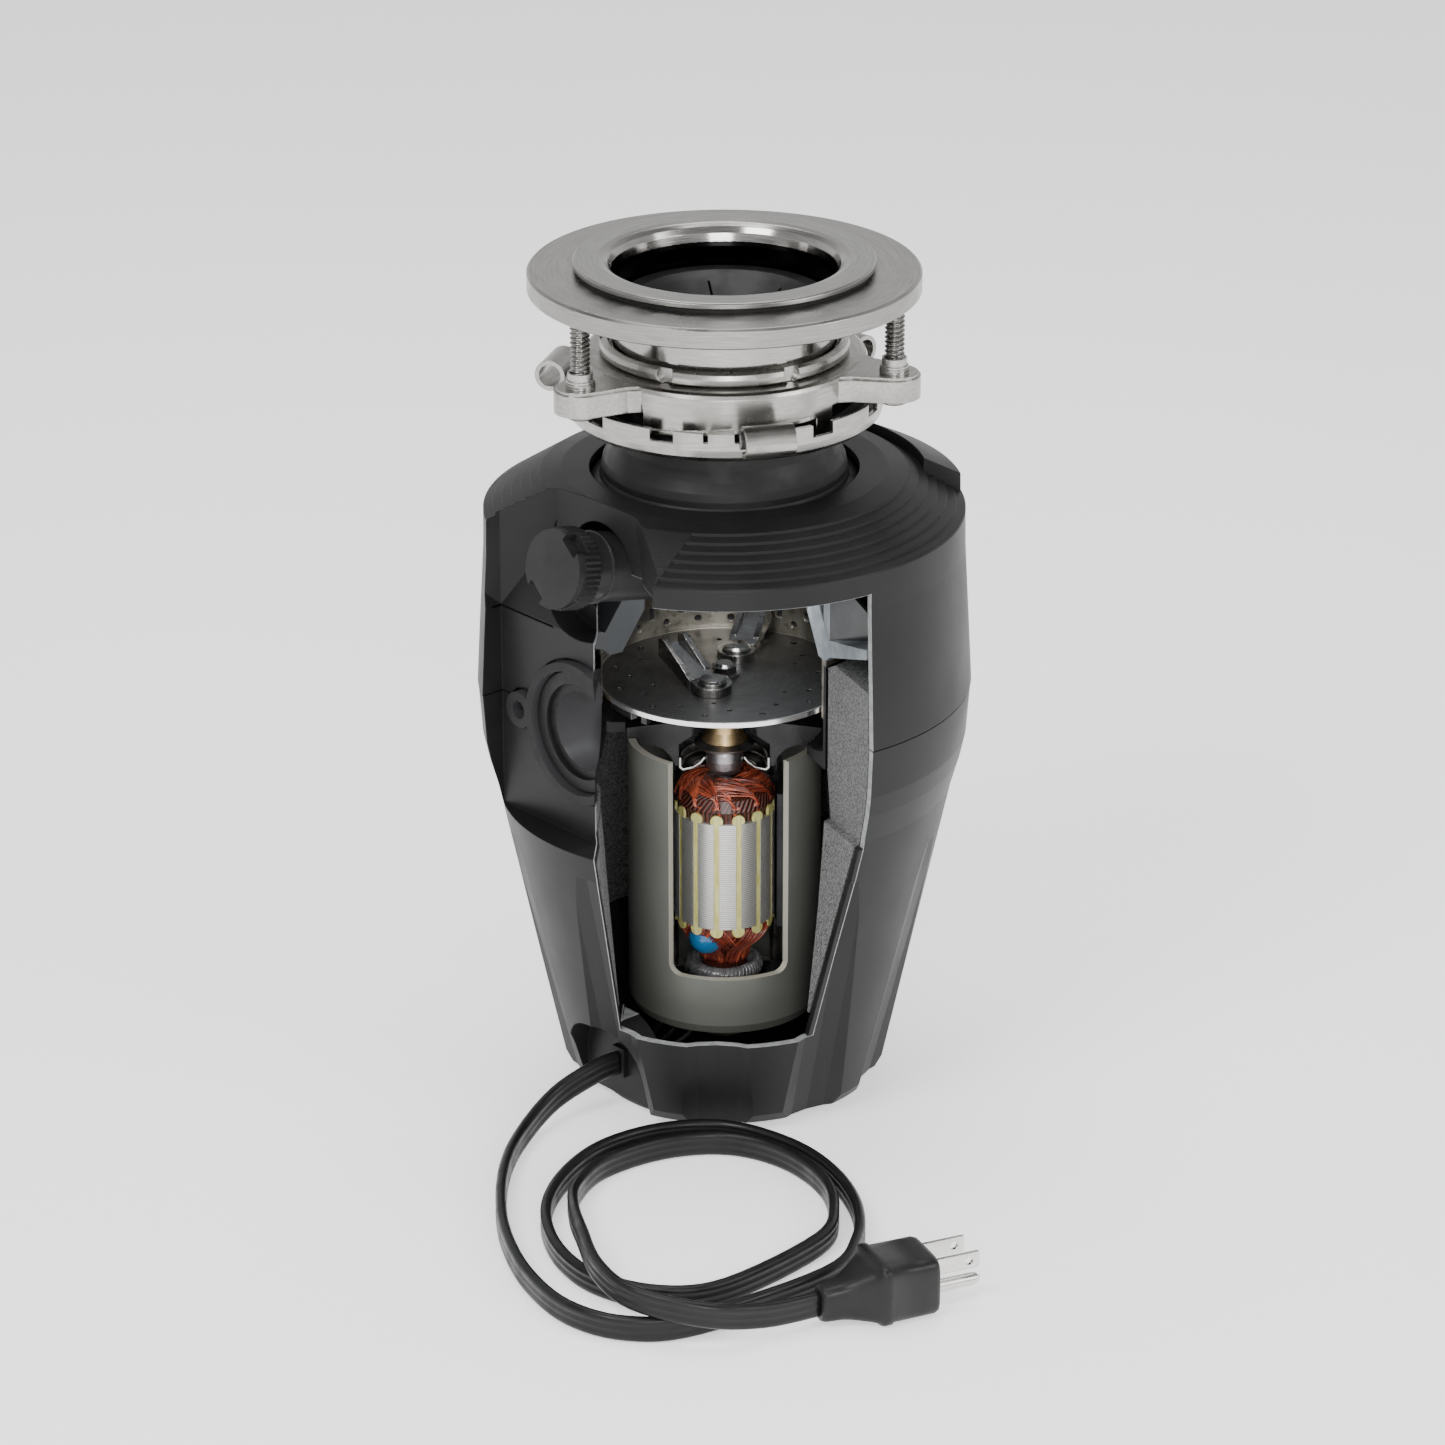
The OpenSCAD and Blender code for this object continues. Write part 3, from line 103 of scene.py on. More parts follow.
def make_camera():
    data = bpy.data.cameras.new("camera")
    data.sensor_width = 36
    data.lens = CAMERA_LENS
    data.shift_x = CAMERA_SHIFT
    data.clip_end = 50
    camera = bpy.data.objects.new("camera", data)
    camera.location = CAMERA_AT
    camera.rotation_euler = (math.radians(90 - CAMERA_DOWN), 0, math.radians(CAMERA_TURN))
    bpy.context.scene.collection.objects.link(camera)
    bpy.context.scene.camera = camera


def add_light(name, place, target, size, power, colour=(1, 1, 1)):
    data = bpy.data.lights.new(name, "AREA")
    data.shape = "RECTANGLE"
    data.size, data.size_y = size
    data.energy = power
    data.color = colour
    light = bpy.data.objects.new(name, data)
    light.location = place
    light.rotation_euler = (Vector(target) - Vector(place)).to_track_quat("-Z", "Y").to_euler()
    bpy.context.scene.collection.objects.link(light)


def make_stage():
    """A bright studio that darkens overhead, soft lights and a pale floor."""
    world = bpy.data.worlds.new("studio")
    bpy.context.scene.world = world
    world.use_nodes = True
    tree = world.node_tree
    coords = tree.nodes.new("ShaderNodeTexCoord")
    parts = tree.nodes.new("ShaderNodeSeparateXYZ")
    fade = tree.nodes.new("ShaderNodeMapRange")
    tree.links.new(coords.outputs["Generated"], parts.inputs[0])
    tree.links.new(parts.outputs[2], fade.inputs["Value"])
    tree.links.new(fade.outputs[0], tree.nodes["Background"].inputs["Strength"])
    for key, value in (("From Min", 0.15), ("From Max", 0.75), ("To Min", 1.05), ("To Max", 0.34)):
        fade.inputs[key].default_value = value
    tree.nodes["Background"].inputs["Color"].default_value = (1.0, 1.0, 1.0, 1)
    middle = (-0.02, -0.02, 0.16)
    add_light("key", (-1.25, -0.2, 1.45), middle, (0.7, 0.7), 20)
    add_light("fill", (0.5, -1.45, 0.9), middle, (0.9, 0.7), 11)
    add_light("front", (-0.75, -0.95, 0.55), (0, 0, 0.12), (0.5, 0.3), 6)
    add_light("above", (0.25, 0.35, 1.6), middle, (1.0, 1.0), 16)
    add_light("throat", (-0.012, -0.014, 0.236), (0.02, 0.03, 0.172), (0.03, 0.03), 0.1)
    bpy.ops.mesh.primitive_plane_add(size=14)
    floor = bpy.context.object
    floor.name = "floor"
    look = Look("floor")
    look.done(look.mix(look.noise(300, 2), (0.88, 0.88, 0.88), (0.92, 0.92, 0.92)), 0.6, bevel=0)
    look.bsdf.inputs["Emission Color"].default_value = (1, 1, 1, 1)
    look.bsdf.inputs["Emission Strength"].default_value = FLOOR_GLOW
    floor.data.materials.append(look.material)


# ---- Shader helpers

class Look:
    """A material; lengths inside it are millimetres of the shared frame."""

    def __init__(self, name, metal=0.0, coat=0.0, specular=0.5):
        self.material = bpy.data.materials.new(name)
        self.material.use_nodes = True
        self.tree = self.material.node_tree
        self.bsdf = self.tree.nodes["Principled BSDF"]
        self.bsdf.inputs["Metallic"].default_value = metal
        self.bsdf.inputs["Coat Weight"].default_value = coat
        self.bsdf.inputs["Coat Roughness"].default_value = 0.12
        self.bsdf.inputs["Specular IOR Level"].default_value = specular
        coords = self.tree.nodes.new("ShaderNodeTexCoord")
        scaled = self.put("ShaderNodeVectorMath", operation="SCALE")
        self.link(coords.outputs["Object"], scaled.inputs[0])
        scaled.inputs["Scale"].default_value = 1000
        self.where = scaled.outputs[0]
        parts = self.put("ShaderNodeSeparateXYZ")
        self.link(self.where, parts.inputs[0])
        self.x, self.y, self.z = parts.outputs

    def put(self, kind, **settings):
        node = self.tree.nodes.new(kind)
        for key, value in settings.items():
            setattr(node, key, value)
        return node

    def link(self, a, b):
        self.tree.links.new(a, b)

    def feed(self, socket, value):
        if isinstance(value, bpy.types.NodeSocket):
            self.link(value, socket)
        elif isinstance(value, tuple) and len(value) == 3 and socket.type == "RGBA":
            socket.default_value = (*value, 1)
        else:
            socket.default_value = value

    def math(self, operation, a, b=0.0, c=0.0):
        node = self.put("ShaderNodeMath", operation=operation)
        for socket, value in zip(node.inputs, (a, b, c)):
            self.feed(socket, value)
        return node.outputs[0]

    def step(self, value, low, high):
        """0 below low, 1 above high, smooth between."""
        node = self.put("ShaderNodeMapRange", interpolation_type="SMOOTHSTEP")
        for socket, v in zip(node.inputs, (value, low, high, 0.0, 1.0)):
            self.feed(socket, v)
        return node.outputs[0]

    def near(self, value, centre, half, soft):
        """1 where value is within half of centre."""
        off = self.math("ABSOLUTE", self.math("SUBTRACT", value, centre))
        return self.math("SUBTRACT", 1.0, self.step(off, half, half + soft))

    def most(self, *values):
        result = values[0]
        for value in values[1:]:
            result = self.math("MAXIMUM", result, value)
        return result

    def radius(self):
        squares = self.math("ADD", self.math("MULTIPLY", self.x, self.x),
                            self.math("MULTIPLY", self.y, self.y))
        return self.math("SQRT", squares)

    def noise(self, size, detail=2.0, where=None, stretch=(1, 1, 1)):
        scale = self.put("ShaderNodeVectorMath", operation="MULTIPLY")
        self.link(where or self.where, scale.inputs[0])
        scale.inputs[1].default_value = [s / size for s in stretch]
        node = self.put("ShaderNodeTexNoise")
        self.link(scale.outputs[0], node.inputs["Vector"])
        node.inputs["Scale"].default_value = 1
        node.inputs["Detail"].default_value = detail
        return node.outputs[0]

    def cells(self, size):
        scale = self.put("ShaderNodeVectorMath", operation="SCALE")
        self.link(self.where, scale.inputs[0])
        scale.inputs["Scale"].default_value = 1 / size
        node = self.put("ShaderNodeTexVoronoi")
        self.link(scale.outputs[0], node.inputs["Vector"])
        node.inputs["Scale"].default_value = 1
        return node.outputs["Distance"]

    def brushed(self, across=0.35, along=9.0):
        """Fine lines that run around the axis."""
        angle = self.math("ARCTAN2", self.y, self.x)
        mixed = self.put("ShaderNodeCombineXYZ")
        self.feed(mixed.inputs[0], self.math("DIVIDE", self.radius(), across))
        self.feed(mixed.inputs[1], self.math("DIVIDE", self.z, across))
        self.feed(mixed.inputs[2], self.math("MULTIPLY", angle, 50 / along))
        node = self.put("ShaderNodeTexNoise")
        self.link(mixed.outputs[0], node.inputs["Vector"])
        node.inputs["Scale"].default_value = 1
        node.inputs["Detail"].default_value = 1
        return node.outputs[0]

    def mix(self, factor, a, b):
        """Colour a at factor 0, b at 1; a Mix node keeps its colours in inputs 6 and 7."""
        node = self.put("ShaderNodeMix", data_type="RGBA")
        self.feed(node.inputs[0], factor)
        self.feed(node.inputs[6], a)
        self.feed(node.inputs[7], b)
        return node.outputs[2]

    def blend(self, factor, a, b):
        """Number a at factor 0, b at 1."""
        return self.math("ADD", self.math("MULTIPLY", factor, b),
                         self.math("MULTIPLY", self.math("SUBTRACT", 1.0, factor), a))

    def facing_out(self):
        """How far the surface's normal points straight away from or towards the axis."""
        geometry = self.tree.nodes.new("ShaderNodeTexCoord")
        parts = self.put("ShaderNodeSeparateXYZ")
        self.link(geometry.outputs["Normal"], parts.inputs[0])
        dot = self.math("ADD", self.math("MULTIPLY", parts.outputs[0], self.x),
                        self.math("MULTIPLY", parts.outputs[1], self.y))
        return self.math("ABSOLUTE", self.math("DIVIDE", dot, self.radius()))

    def across(self):
        """Distance to the right of the axis, seen from the front of the display cut."""
        return self.math("SUBTRACT", self.math("MULTIPLY", self.y, AHEAD_X),
                         self.math("MULTIPLY", self.x, AHEAD_Y))

    def ahead(self):
        """Distance in front of the axis, seen the same way."""
        return self.math("ADD", self.math("MULTIPLY", self.x, AHEAD_X),
                         self.math("MULTIPLY", self.y, AHEAD_Y))

    def cut_face(self):
        """1 on the faces of the display cut in the housings and what they hold."""
        across = self.across()
        ahead = self.ahead()
        below = self.math("MAXIMUM", self.math("SUBTRACT", TAPER_Z, self.z), 0.0)
        left = self.math("ADD", LEFT_OFF, self.math("ADD",
            self.math("MULTIPLY", ahead, LEFT_SLOPE), self.math("MULTIPLY", below, LEFT_TAPER)))
        right = self.math("ADD", RIGHT_OFF, self.math("SUBTRACT",
            self.math("MULTIPLY", ahead, RIGHT_SLOPE), self.math("MULTIPLY", below, RIGHT_TAPER)))
        sides = self.most(self.near(across, left, 0.15, 0.1), self.near(across, right, 0.15, 0.1))
        levels = self.most(self.near(self.z, CUT_Z0, 0.08, 0.05),
                           self.near(self.z, CUT_Z1, 0.08, 0.05))
        inside = self.math("MULTIPLY",
                           self.math("GREATER_THAN", across, self.math("SUBTRACT", left, 0.3)),
                           self.math("LESS_THAN", across, self.math("ADD", right, 0.3)))
        middle, half = (CUT_Z0 + CUT_Z1) / 2, (CUT_Z1 - CUT_Z0) / 2
        sides = self.math("MULTIPLY", sides, self.near(self.z, middle, half + 0.2, 0.1))
        return self.math("MULTIPLY", self.most(sides, self.math("MULTIPLY", levels, inside)),
                         self.step(ahead, 5, 8))

    def plain_at(self, normal, levels):
        """The plain normal close to the levels where one moulding is split between nodes."""
        node = self.put("ShaderNodeMix", data_type="VECTOR")
        self.feed(node.inputs[0], self.most(*[self.near(self.z, level, 0.8, 0.15) for level in levels]))
        self.link(normal, node.inputs[4])
        self.link(self.put("ShaderNodeNewGeometry").outputs["Normal"], node.inputs[5])
        return node.outputs[1]

    def done(self, colour, rough, height=None, depth=0.05, bevel=0.5, seams=()):
        """Feeds the shader; depth and bevel are in millimetres."""
        self.feed(self.bsdf.inputs["Base Color"], colour)
        self.feed(self.bsdf.inputs["Roughness"], rough)
        normal = None
        if bevel:
            node = self.put("ShaderNodeBevel", samples=4)
            node.inputs["Radius"].default_value = bevel * MM
            normal = self.plain_at(node.outputs[0], seams) if seams else node.outputs[0]
        if height is not None:
            bump = self.put("ShaderNodeBump")
            bump.inputs["Strength"].default_value = 1
            bump.inputs["Distance"].default_value = depth * MM
            self.link(height, bump.inputs["Height"])
            if normal:
                self.link(normal, bump.inputs["Normal"])
            normal = bump.outputs[0]
        if normal:
            self.link(normal, self.bsdf.inputs["Normal"])
        return self.material


def tint(colour, factor):
    return tuple(min(1.0, c * factor) for c in colour)


def plastic(name, colour, rough, grain=0.9, depth=0.03, coat=0.0, bevel=0.5, vary=0.25, specular=0.35):
    """Moulded plastic or rubber: fine grain, faint blotches and uneven sheen."""
    look = Look(name, coat=coat, specular=specular)
    cloud = look.noise(26, 3)
    fine = look.noise(grain, 2)
    shade = look.mix(look.step(cloud, 0.3, 0.7), tint(colour, 1 - vary), tint(colour, 1 + vary))
    roughness = look.blend(look.step(look.noise(9, 4), 0.35, 0.7), rough - 0.07, rough + 0.09)
    return look.done(shade, roughness, fine, depth, bevel)


def steel(name, colour, rough, lines=0.35, depth=0.012, marks=0.3, bevel=0.4, stain=None):
    """Metal with lines around the axis, cloudy roughness and optional stains."""
    look = Look(name, metal=1.0)
    line = look.brushed(lines)
    cloud = look.noise(14, 4)
    shade = look.mix(look.step(line, 0.3, 0.7), tint(colour, 1 - marks * 0.5),
                     tint(colour, 1 + marks * 0.4))
    if stain:
        shade = look.mix(look.step(cloud, 0.48, 0.72), shade, stain)
    roughness = look.blend(look.step(cloud, 0.3, 0.7), rough - 0.06, rough + 0.1)
    return look.done(shade, roughness, line, depth, bevel)


# ---- Materials

# The hopper's mottled pale grey, and the stretch across the cut over which painted shade darkens it
HOPPER_PALE = ((0.20, 0.225, 0.245), (0.29, 0.315, 0.335))
PAINTED_SHADE_FROM, PAINTED_SHADE_TO = -12, -4
# The bore's radius, inside which painted shade darkens the hopper
HOPPER_BORE_R = 37.2
# The sleeve's bore and top, inside which painted shade and dark reflection blacken the flange
FLANGE_BORE_R, FLANGE_TOP_Z = 41.95, 331.0
SHEET_THICKNESS = 0.8


def shell_look():
    """Black moulded shells whose cut faces are grey."""
    look = Look("shell_plastic", specular=0.2)
    cut = look.cut_face()
    cloud = look.step(look.noise(40, 3), 0.3, 0.7)
    skin = look.mix(cloud, (0.0085, 0.0085, 0.009), (0.013, 0.013, 0.0135))
    section = look.mix(look.step(look.noise(3, 3), 0.35, 0.65),
                       (0.24, 0.245, 0.25), (0.33, 0.335, 0.34))
    rough = look.blend(cut, look.blend(cloud, 0.38, 0.47), 0.6)
    return look.done(look.mix(cut, skin, section), rough, look.noise(0.7, 2), 0.035, 0.7,
                     SHELL_SEAMS)


def foam_look():
    """Dark open foam with pores and pale flecks."""
    look = Look("foam", specular=0.2)
    pores = look.step(look.cells(1.1), 0.1, 0.75)
    fine = look.noise(0.75, 3)
    body = look.mix(look.step(fine, 0.3, 0.7), (0.065, 0.065, 0.067), (0.19, 0.19, 0.19))
    fleck = look.step(look.noise(1.0, 1), 0.52, 0.68)
    colour = look.mix(look.math("MULTIPLY", fleck, 0.35), body, (0.24, 0.24, 0.24))
    height = look.math("ADD", look.math("MULTIPLY", pores, 0.6), fine)
    return look.done(colour, 0.9, height, 0.35, 0.8)


def hopper_look():
    """Mottled grey plastic, with painted shade in the bore and left of the cut."""
    look = Look("hopper_plastic")
    mottled = look.step(look.noise(5, 4), 0.3, 0.7)
    colour = look.mix(mottled, *HOPPER_PALE)
    # Painted shade: the bore turns dark grey
    inner = look.math("SUBTRACT", 1.0, look.step(look.radius(), HOPPER_BORE_R, HOPPER_BORE_R + 1.2))
    colour = look.mix(look.math("MULTIPLY", inner, 0.9), colour, (0.055, 0.058, 0.062))
    # Painted shade: the side left of the cut turns near black, staying pale to its right
    right = look.step(look.across(), PAINTED_SHADE_FROM, PAINTED_SHADE_TO)
    colour = look.mix(right, (0.035, 0.038, 0.041), colour)
    return look.done(colour, 0.45, look.noise(1.4, 3), 0.05, 0.6, HOPPER_SEAMS)


def rib_look():
    """Dark glossy plates whose cut faces are pale, with painted shade darkening them left of the cut.
    """
    look = Look("hopper_rib", coat=0.4)
    mottled = look.step(look.noise(6, 3), 0.3, 0.7)
    dark = look.mix(mottled, (0.016, 0.018, 0.020), (0.030, 0.033, 0.036))
    pale = look.mix(mottled, *HOPPER_PALE)
    # Painted shade: the pale cut faces turn dark left of the cut
    pale = look.mix(look.step(look.across(), PAINTED_SHADE_FROM, PAINTED_SHADE_TO), (0.045, 0.048, 0.052), pale)
    return look.done(look.mix(look.cut_face(), dark, pale), 0.3, look.noise(3, 2), 0.05, 0.5)


def edge_metal_look(name, face, edge, rough, metal=1.0, stain=None, bevel=0.25, patch=8, vary=0.17,
                    specular=0.5):
    """Sheet metal whose cut edges are brighter than its faces."""
    look = Look(name, metal=metal, specular=specular)
    section = look.math("SUBTRACT", 1.0, look.step(look.facing_out(), 0.45, 0.6))
    cloud = look.step(look.noise(patch, 4), 0.35, 0.7)
    colour = look.mix(cloud, tint(face, 1 - vary), tint(face, 1 + vary))
    if stain:
        colour = look.mix(look.step(look.noise(3, 5), 0.52, 0.7), colour, stain)
    colour = look.mix(section, colour, edge)
    roughness = look.blend(cloud, rough - 0.05, rough + 0.1)
    return look.done(colour, roughness, look.noise(0.8, 3), 0.03, bevel)


def flange_look():
    """Brushed flange whose sleeve is painted near black inside, as painted shade and dark reflection.
    """
    look = Look("flange_nickel", metal=1.0)
    radius = look.radius()
    line = look.brushed(0.3)
    shade = look.mix(look.step(line, 0.3, 0.7), (0.29, 0.285, 0.277), (0.37, 0.363, 0.352))
    # Painted shade and dark reflection: near black inside the sleeve, below its top
    inside = look.math("MULTIPLY", look.math("LESS_THAN", radius, FLANGE_BORE_R),
                       look.math("LESS_THAN", look.z, FLANGE_TOP_Z))
    rough = look.blend(look.step(radius, 43.0, 46.0), 0.14, 0.27)
    return look.done(look.mix(inside, shade, (0.008, 0.008, 0.008)), rough, line, 0.006, 0.5)


def turntable_look():
    """Steel brushed around the axis, with a painted highlight along its cut rim."""
    look = Look("turntable_steel", metal=1.0)
    radius = look.radius()
    line = look.brushed(0.3, 14)
    # Painted highlight: the last stretch to the rim is near white and glossier
    rim = look.step(radius, TURNTABLE_R - 1.3, TURNTABLE_R - 0.5)
    colour = look.mix(look.step(line, 0.3, 0.7), (0.105, 0.105, 0.105), (0.15, 0.15, 0.148))
    colour = look.mix(look.step(look.noise(9, 3), 0.45, 0.8), colour, (0.09, 0.088, 0.085))
    colour = look.mix(rim, colour, (0.86, 0.85, 0.83))
    rough = look.blend(rim, look.blend(look.noise(9, 3), 0.30, 0.42), 0.22)
    return look.done(colour, rough, line, 0.02, 0.3)


def core_look():
    """Stacked steel sheets seen from their edges."""
    look = Look("core_steel", metal=0.75)
    sheets = look.math("FRACT", look.math("DIVIDE", look.z, SHEET_THICKNESS))
    groove = look.near(sheets, 0.5, 0.30, 0.16)
    colour = look.mix(groove, (0.26, 0.255, 0.245), (0.80, 0.79, 0.76))
    colour = look.mix(look.step(look.noise(5, 3), 0.55, 0.85), colour, (0.60, 0.585, 0.55))
    return look.done(colour, look.blend(look.noise(3, 3), 0.30, 0.42), groove, 0.05, 0.15)


def paper_look():
    """Yellow paper whose fibres run up the slots."""
    look = Look("liner_paper", specular=0.3)
    fibre = look.noise(1.2, 4, stretch=(1, 1, 0.2))
    colour = look.mix(look.step(fibre, 0.3, 0.7), (0.56, 0.52, 0.15), (0.72, 0.69, 0.30))
    return look.done(colour, 0.55, fibre, 0.03, 0.2)


def wire_look(name, colour):
    """Varnished wire."""
    look = Look(name, coat=1.0)
    spread = look.step(look.noise(3.5, 2), 0.3, 0.7)
    shade = look.mix(spread, tint(colour, 0.7), tint(colour, 1.25))
    return look.done(shade, 0.22, look.noise(4, 2), 0.05, 0)


def winding_shade_look():
    """Painted shade between the modelled strands: near-black copper with grooves, under them."""
    look = Look("painted_winding_shade", coat=0.3)
    angle = look.math("ARCTAN2", look.y, look.x)
    lines = look.math("SINE", look.math("ADD", look.math("MULTIPLY", angle, 60.0),
                                        look.math("MULTIPLY", look.radius(), 5.5)))
    # Painted shade: the grooves run between near black and dark red, as dark gaps between turns
    colour = look.mix(look.step(lines, -0.6, 0.6), (0.03, 0.007, 0.004), (0.12, 0.025, 0.013))
    return look.done(colour, 0.4, lines, 0.25, 0.4)


def epoxy_look():
    """Glossy blue balancing putty."""
    look = Look("blue_epoxy", coat=0.8)
    colour = look.mix(look.noise(3, 3), (0.010, 0.12, 0.30), (0.02, 0.22, 0.48))
    return look.done(colour, 0.2, look.noise(2.5, 2), 0.3, 1.2)


def thread_look():
    """Steel of the modelled threads, with no lines around the unit's axis."""
    look = Look("thread_steel", metal=1.0)
    cloud = look.step(look.noise(5, 3), 0.35, 0.7)
    colour = look.mix(cloud, (0.22, 0.215, 0.205), (0.32, 0.31, 0.30))
    return look.done(colour, look.blend(cloud, 0.22, 0.32), look.noise(0.8, 2), 0.01, 0)


def make_materials():
    """Looks by name; steel takes roughness, line width, line depth, marks and bevel, in this order,
    and plastic takes roughness, grain size and grain depth."""
    return {
        "nickel": steel("nickel", (0.31, 0.303, 0.293), 0.30, 0.28, 0.010, 0.35, 0.5),
        "flange": flange_look(),
        "nickel_bright": steel("nickel_bright", (0.58, 0.57, 0.55), 0.17, 0.5, 0.004, 0.12, 0.5),
        "baffle": plastic("baffle_rubber", (0.006, 0.006, 0.006), 0.42, specular=0.2),
        "mount_steel": steel("mount_steel", (0.37, 0.362, 0.345), 0.27, 0.9, 0.006, 0.2, 0.6,
                             stain=(0.29, 0.28, 0.262)),
        "fastener": steel("fastener", (0.42, 0.41, 0.40), 0.32, 0.6, 0.01, 0.2, 0.3),
        "shaft": steel("shaft", (0.60, 0.59, 0.57), 0.2, 0.3, 0.006, 0.2, 0.3),
        "polished": steel("polished", (0.25, 0.245, 0.24), 0.2, 0.6, 0.01, 0.25, 0.5,
                          stain=(0.17, 0.165, 0.16)),
        "blade": steel("blade", (0.70, 0.69, 0.66), 0.24, 0.8, 0.006, 0.15, 0.3),
        "shell": shell_look(),
        "foam": foam_look(),
        "hopper": hopper_look(),
        "rib": rib_look(),
        "chamber": edge_metal_look("chamber_plastic", (0.009, 0.009, 0.0095),
                                   (0.035, 0.035, 0.037), 0.5, metal=0.0, specular=0.2),
        "ring": edge_metal_look("ring_steel", (0.30, 0.285, 0.245), (0.66, 0.63, 0.57), 0.4,
                                stain=(0.20, 0.17, 0.13)),
        "can": edge_metal_look("can_paint", (0.175, 0.18, 0.16), (0.46, 0.45, 0.38), 0.40,
                               metal=0.25, patch=45, vary=0.05),
        "turntable": turntable_look(),
        "core": core_look(),
        "paper": paper_look(),
        "copper_wire": wire_look("copper_wire", (0.50, 0.105, 0.05)),
        "dark_wire": wire_look("dark_wire", (0.22, 0.035, 0.018)),
        # painted shade between the strands
        "painted_winding_shade": winding_shade_look(),
        "lead_wire": wire_look("lead_wire", (0.15, 0.15, 0.155)),
        "epoxy": epoxy_look(),
        "thread": thread_look(),
        "black": plastic("black_plastic", (0.020, 0.020, 0.021), 0.36),
        "cap": plastic("cap_plastic", (0.013, 0.013, 0.014), 0.42, 0.6, 0.04, bevel=0.35,
                       specular=0.25),
        "frame": plastic("frame_plastic", (0.016, 0.016, 0.018), 0.33, 0.8, 0.03),
        "rubber": plastic("black_rubber", (0.009, 0.009, 0.009), 0.5, 0.5, 0.04, bevel=0.4,
                          specular=0.25),
        "cord": plastic("cord_rubber", (0.008, 0.008, 0.0083), 0.38, 0.6, 0.03, bevel=0,
                        specular=0.28),
        "plug": plastic("plug_rubber", (0.010, 0.010, 0.0103), 0.42, 0.5, 0.04, bevel=0,
                        specular=0.28),
        "bronze": steel("bronze", (0.60, 0.43, 0.22), 0.38, 0.5, 0.01, 0.3, 0.4,
                        stain=(0.38, 0.27, 0.15)),
        "sintered": steel("sintered", (0.40, 0.37, 0.38), 0.42, 0.8, 0.02, 0.3, 0.4),
        "commutator": steel("commutator_copper", (0.70, 0.36, 0.20), 0.3, 0.3, 0.01, 0.3, 0.2),
        "magnet": plastic("magnet_ferrite", (0.035, 0.035, 0.038), 0.45, 1.2, 0.05),
        "carbon": plastic("carbon", (0.03, 0.03, 0.03), 0.55, 0.8, 0.03),
        "red": plastic("red_plastic", (0.50, 0.02, 0.015), 0.3, 0.8, 0.02, coat=0.4),
    }


MATERIAL_OF = {
    "sink_flange": "flange", "support_plate": "nickel", "snap_ring": "mount_steel",
    "upper_mount_ring": "mount_steel", "stud_collars": "fastener", "lock_ring": "mount_steel",
    "mount_studs": "thread", "case_screws": "fastener",
    "slinger_washer": "fastener", "bearing_retainer": "nickel_bright",
    "upper_housing": "shell", "upper_shoulder": "shell", "lower_rim": "shell",
    "lower_housing": "shell", "lower_base": "shell", "dishwasher_inlet": "black",
    "inlet_cap": "cap", "discharge_chamber": "chamber", "base_cover": "black",
    "upper_end_frame": "frame", "overload_protector": "black", "brush_holders": "black",
    "flange_gasket": "rubber", "neck_cushion": "rubber", "splash_baffle": "baffle",
    "outlet_gasket": "rubber", "shaft_seal": "rubber", "strain_relief": "rubber",
    "cord": "cord", "plug_body": "plug", "lead_wires": "rubber", "sound_foam": "foam",
    "hopper": "hopper", "hopper_neck": "hopper", "hopper_ribs": "rib", "grind_ring": "ring",
    "turntable": "turntable",
    "impeller_rivets": "polished", "impeller_a": "polished", "impeller_b": "polished",
    "hub_nut": "polished", "rotor_shaft": "shaft", "plug_prongs": "blade",
    "hub_spool": "bronze", "lower_bearing": "bronze", "brush_springs": "bronze",
    "upper_bearing": "sintered", "armature_core": "core", "slot_liners": "paper",
    # the windings under the strands carry painted shade
    "top_windings": "painted_winding_shade", "bottom_windings": "painted_winding_shade", "balance_epoxy": "epoxy",
    "commutator": "commutator", "commutator_leads": "lead_wire", "motor_can": "can",
    "lower_end_bell": "can", "magnets": "magnet", "brush_a": "carbon", "brush_b": "carbon",
    "reset_button": "red",
}


# ---- Mesh helpers

def piece(name, points, faces, material, body, smooth=True):
    """A mesh object from points in millimetres, which rides on a body."""
    mesh = bpy.data.meshes.new(name)
    mesh.from_pydata([[c * MM for c in p] for p in points], [], faces)
    mesh.validate()
    mesh.update()
    for polygon in mesh.polygons:
        polygon.use_smooth = smooth
    mesh.materials.append(material)
    obj = bpy.data.objects.new(name, mesh)
    bpy.context.scene.collection.objects.link(obj)
    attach(obj, body)
    return obj


def tube(points, faces, line, outline, up=None, closed=False):
    """Adds a tube along a line to points and faces; outline is in (across, upward) offsets."""
    count = len(line)
    sides = len(outline)
    first = len(points)
    for i, place in enumerate(line):
        before = line[(i - 1) % count] if closed else line[max(i - 1, 0)]
        after = line[(i + 1) % count] if closed else line[min(i + 1, count - 1)]
        along = (Vector(after) - Vector(before)).normalized()
        side = along.cross(Vector(up or (0, 0, 1)))
        if side.length < 1e-4:
            side = along.cross(Vector((1, 0, 0)))
        side.normalize()
        rise = side.cross(along)
        for a, b in outline:
            points.append(Vector(place) + side * a + rise * b)
    for i in range(count if closed else count - 1):
        for k in range(sides):
            m = (k + 1) % sides
            j = (i + 1) % count
            faces.append([first + i * sides + k, first + j * sides + k,
                          first + j * sides + m, first + i * sides + m])
    if not closed:
        faces.append([first + k for k in range(sides)])
        faces.append([first + (count - 1) * sides + k for k in reversed(range(sides))])


def skin(faces, first, bands, sides):
    """Adds the faces of each band between rings of points; the rings are numbered from first."""
    for i in range(bands):
        for k in range(sides):
            m = (k + 1) % sides
            faces.append([first + i * sides + k, first + i * sides + m,
                          first + (i + 1) * sides + m, first + (i + 1) * sides + k])


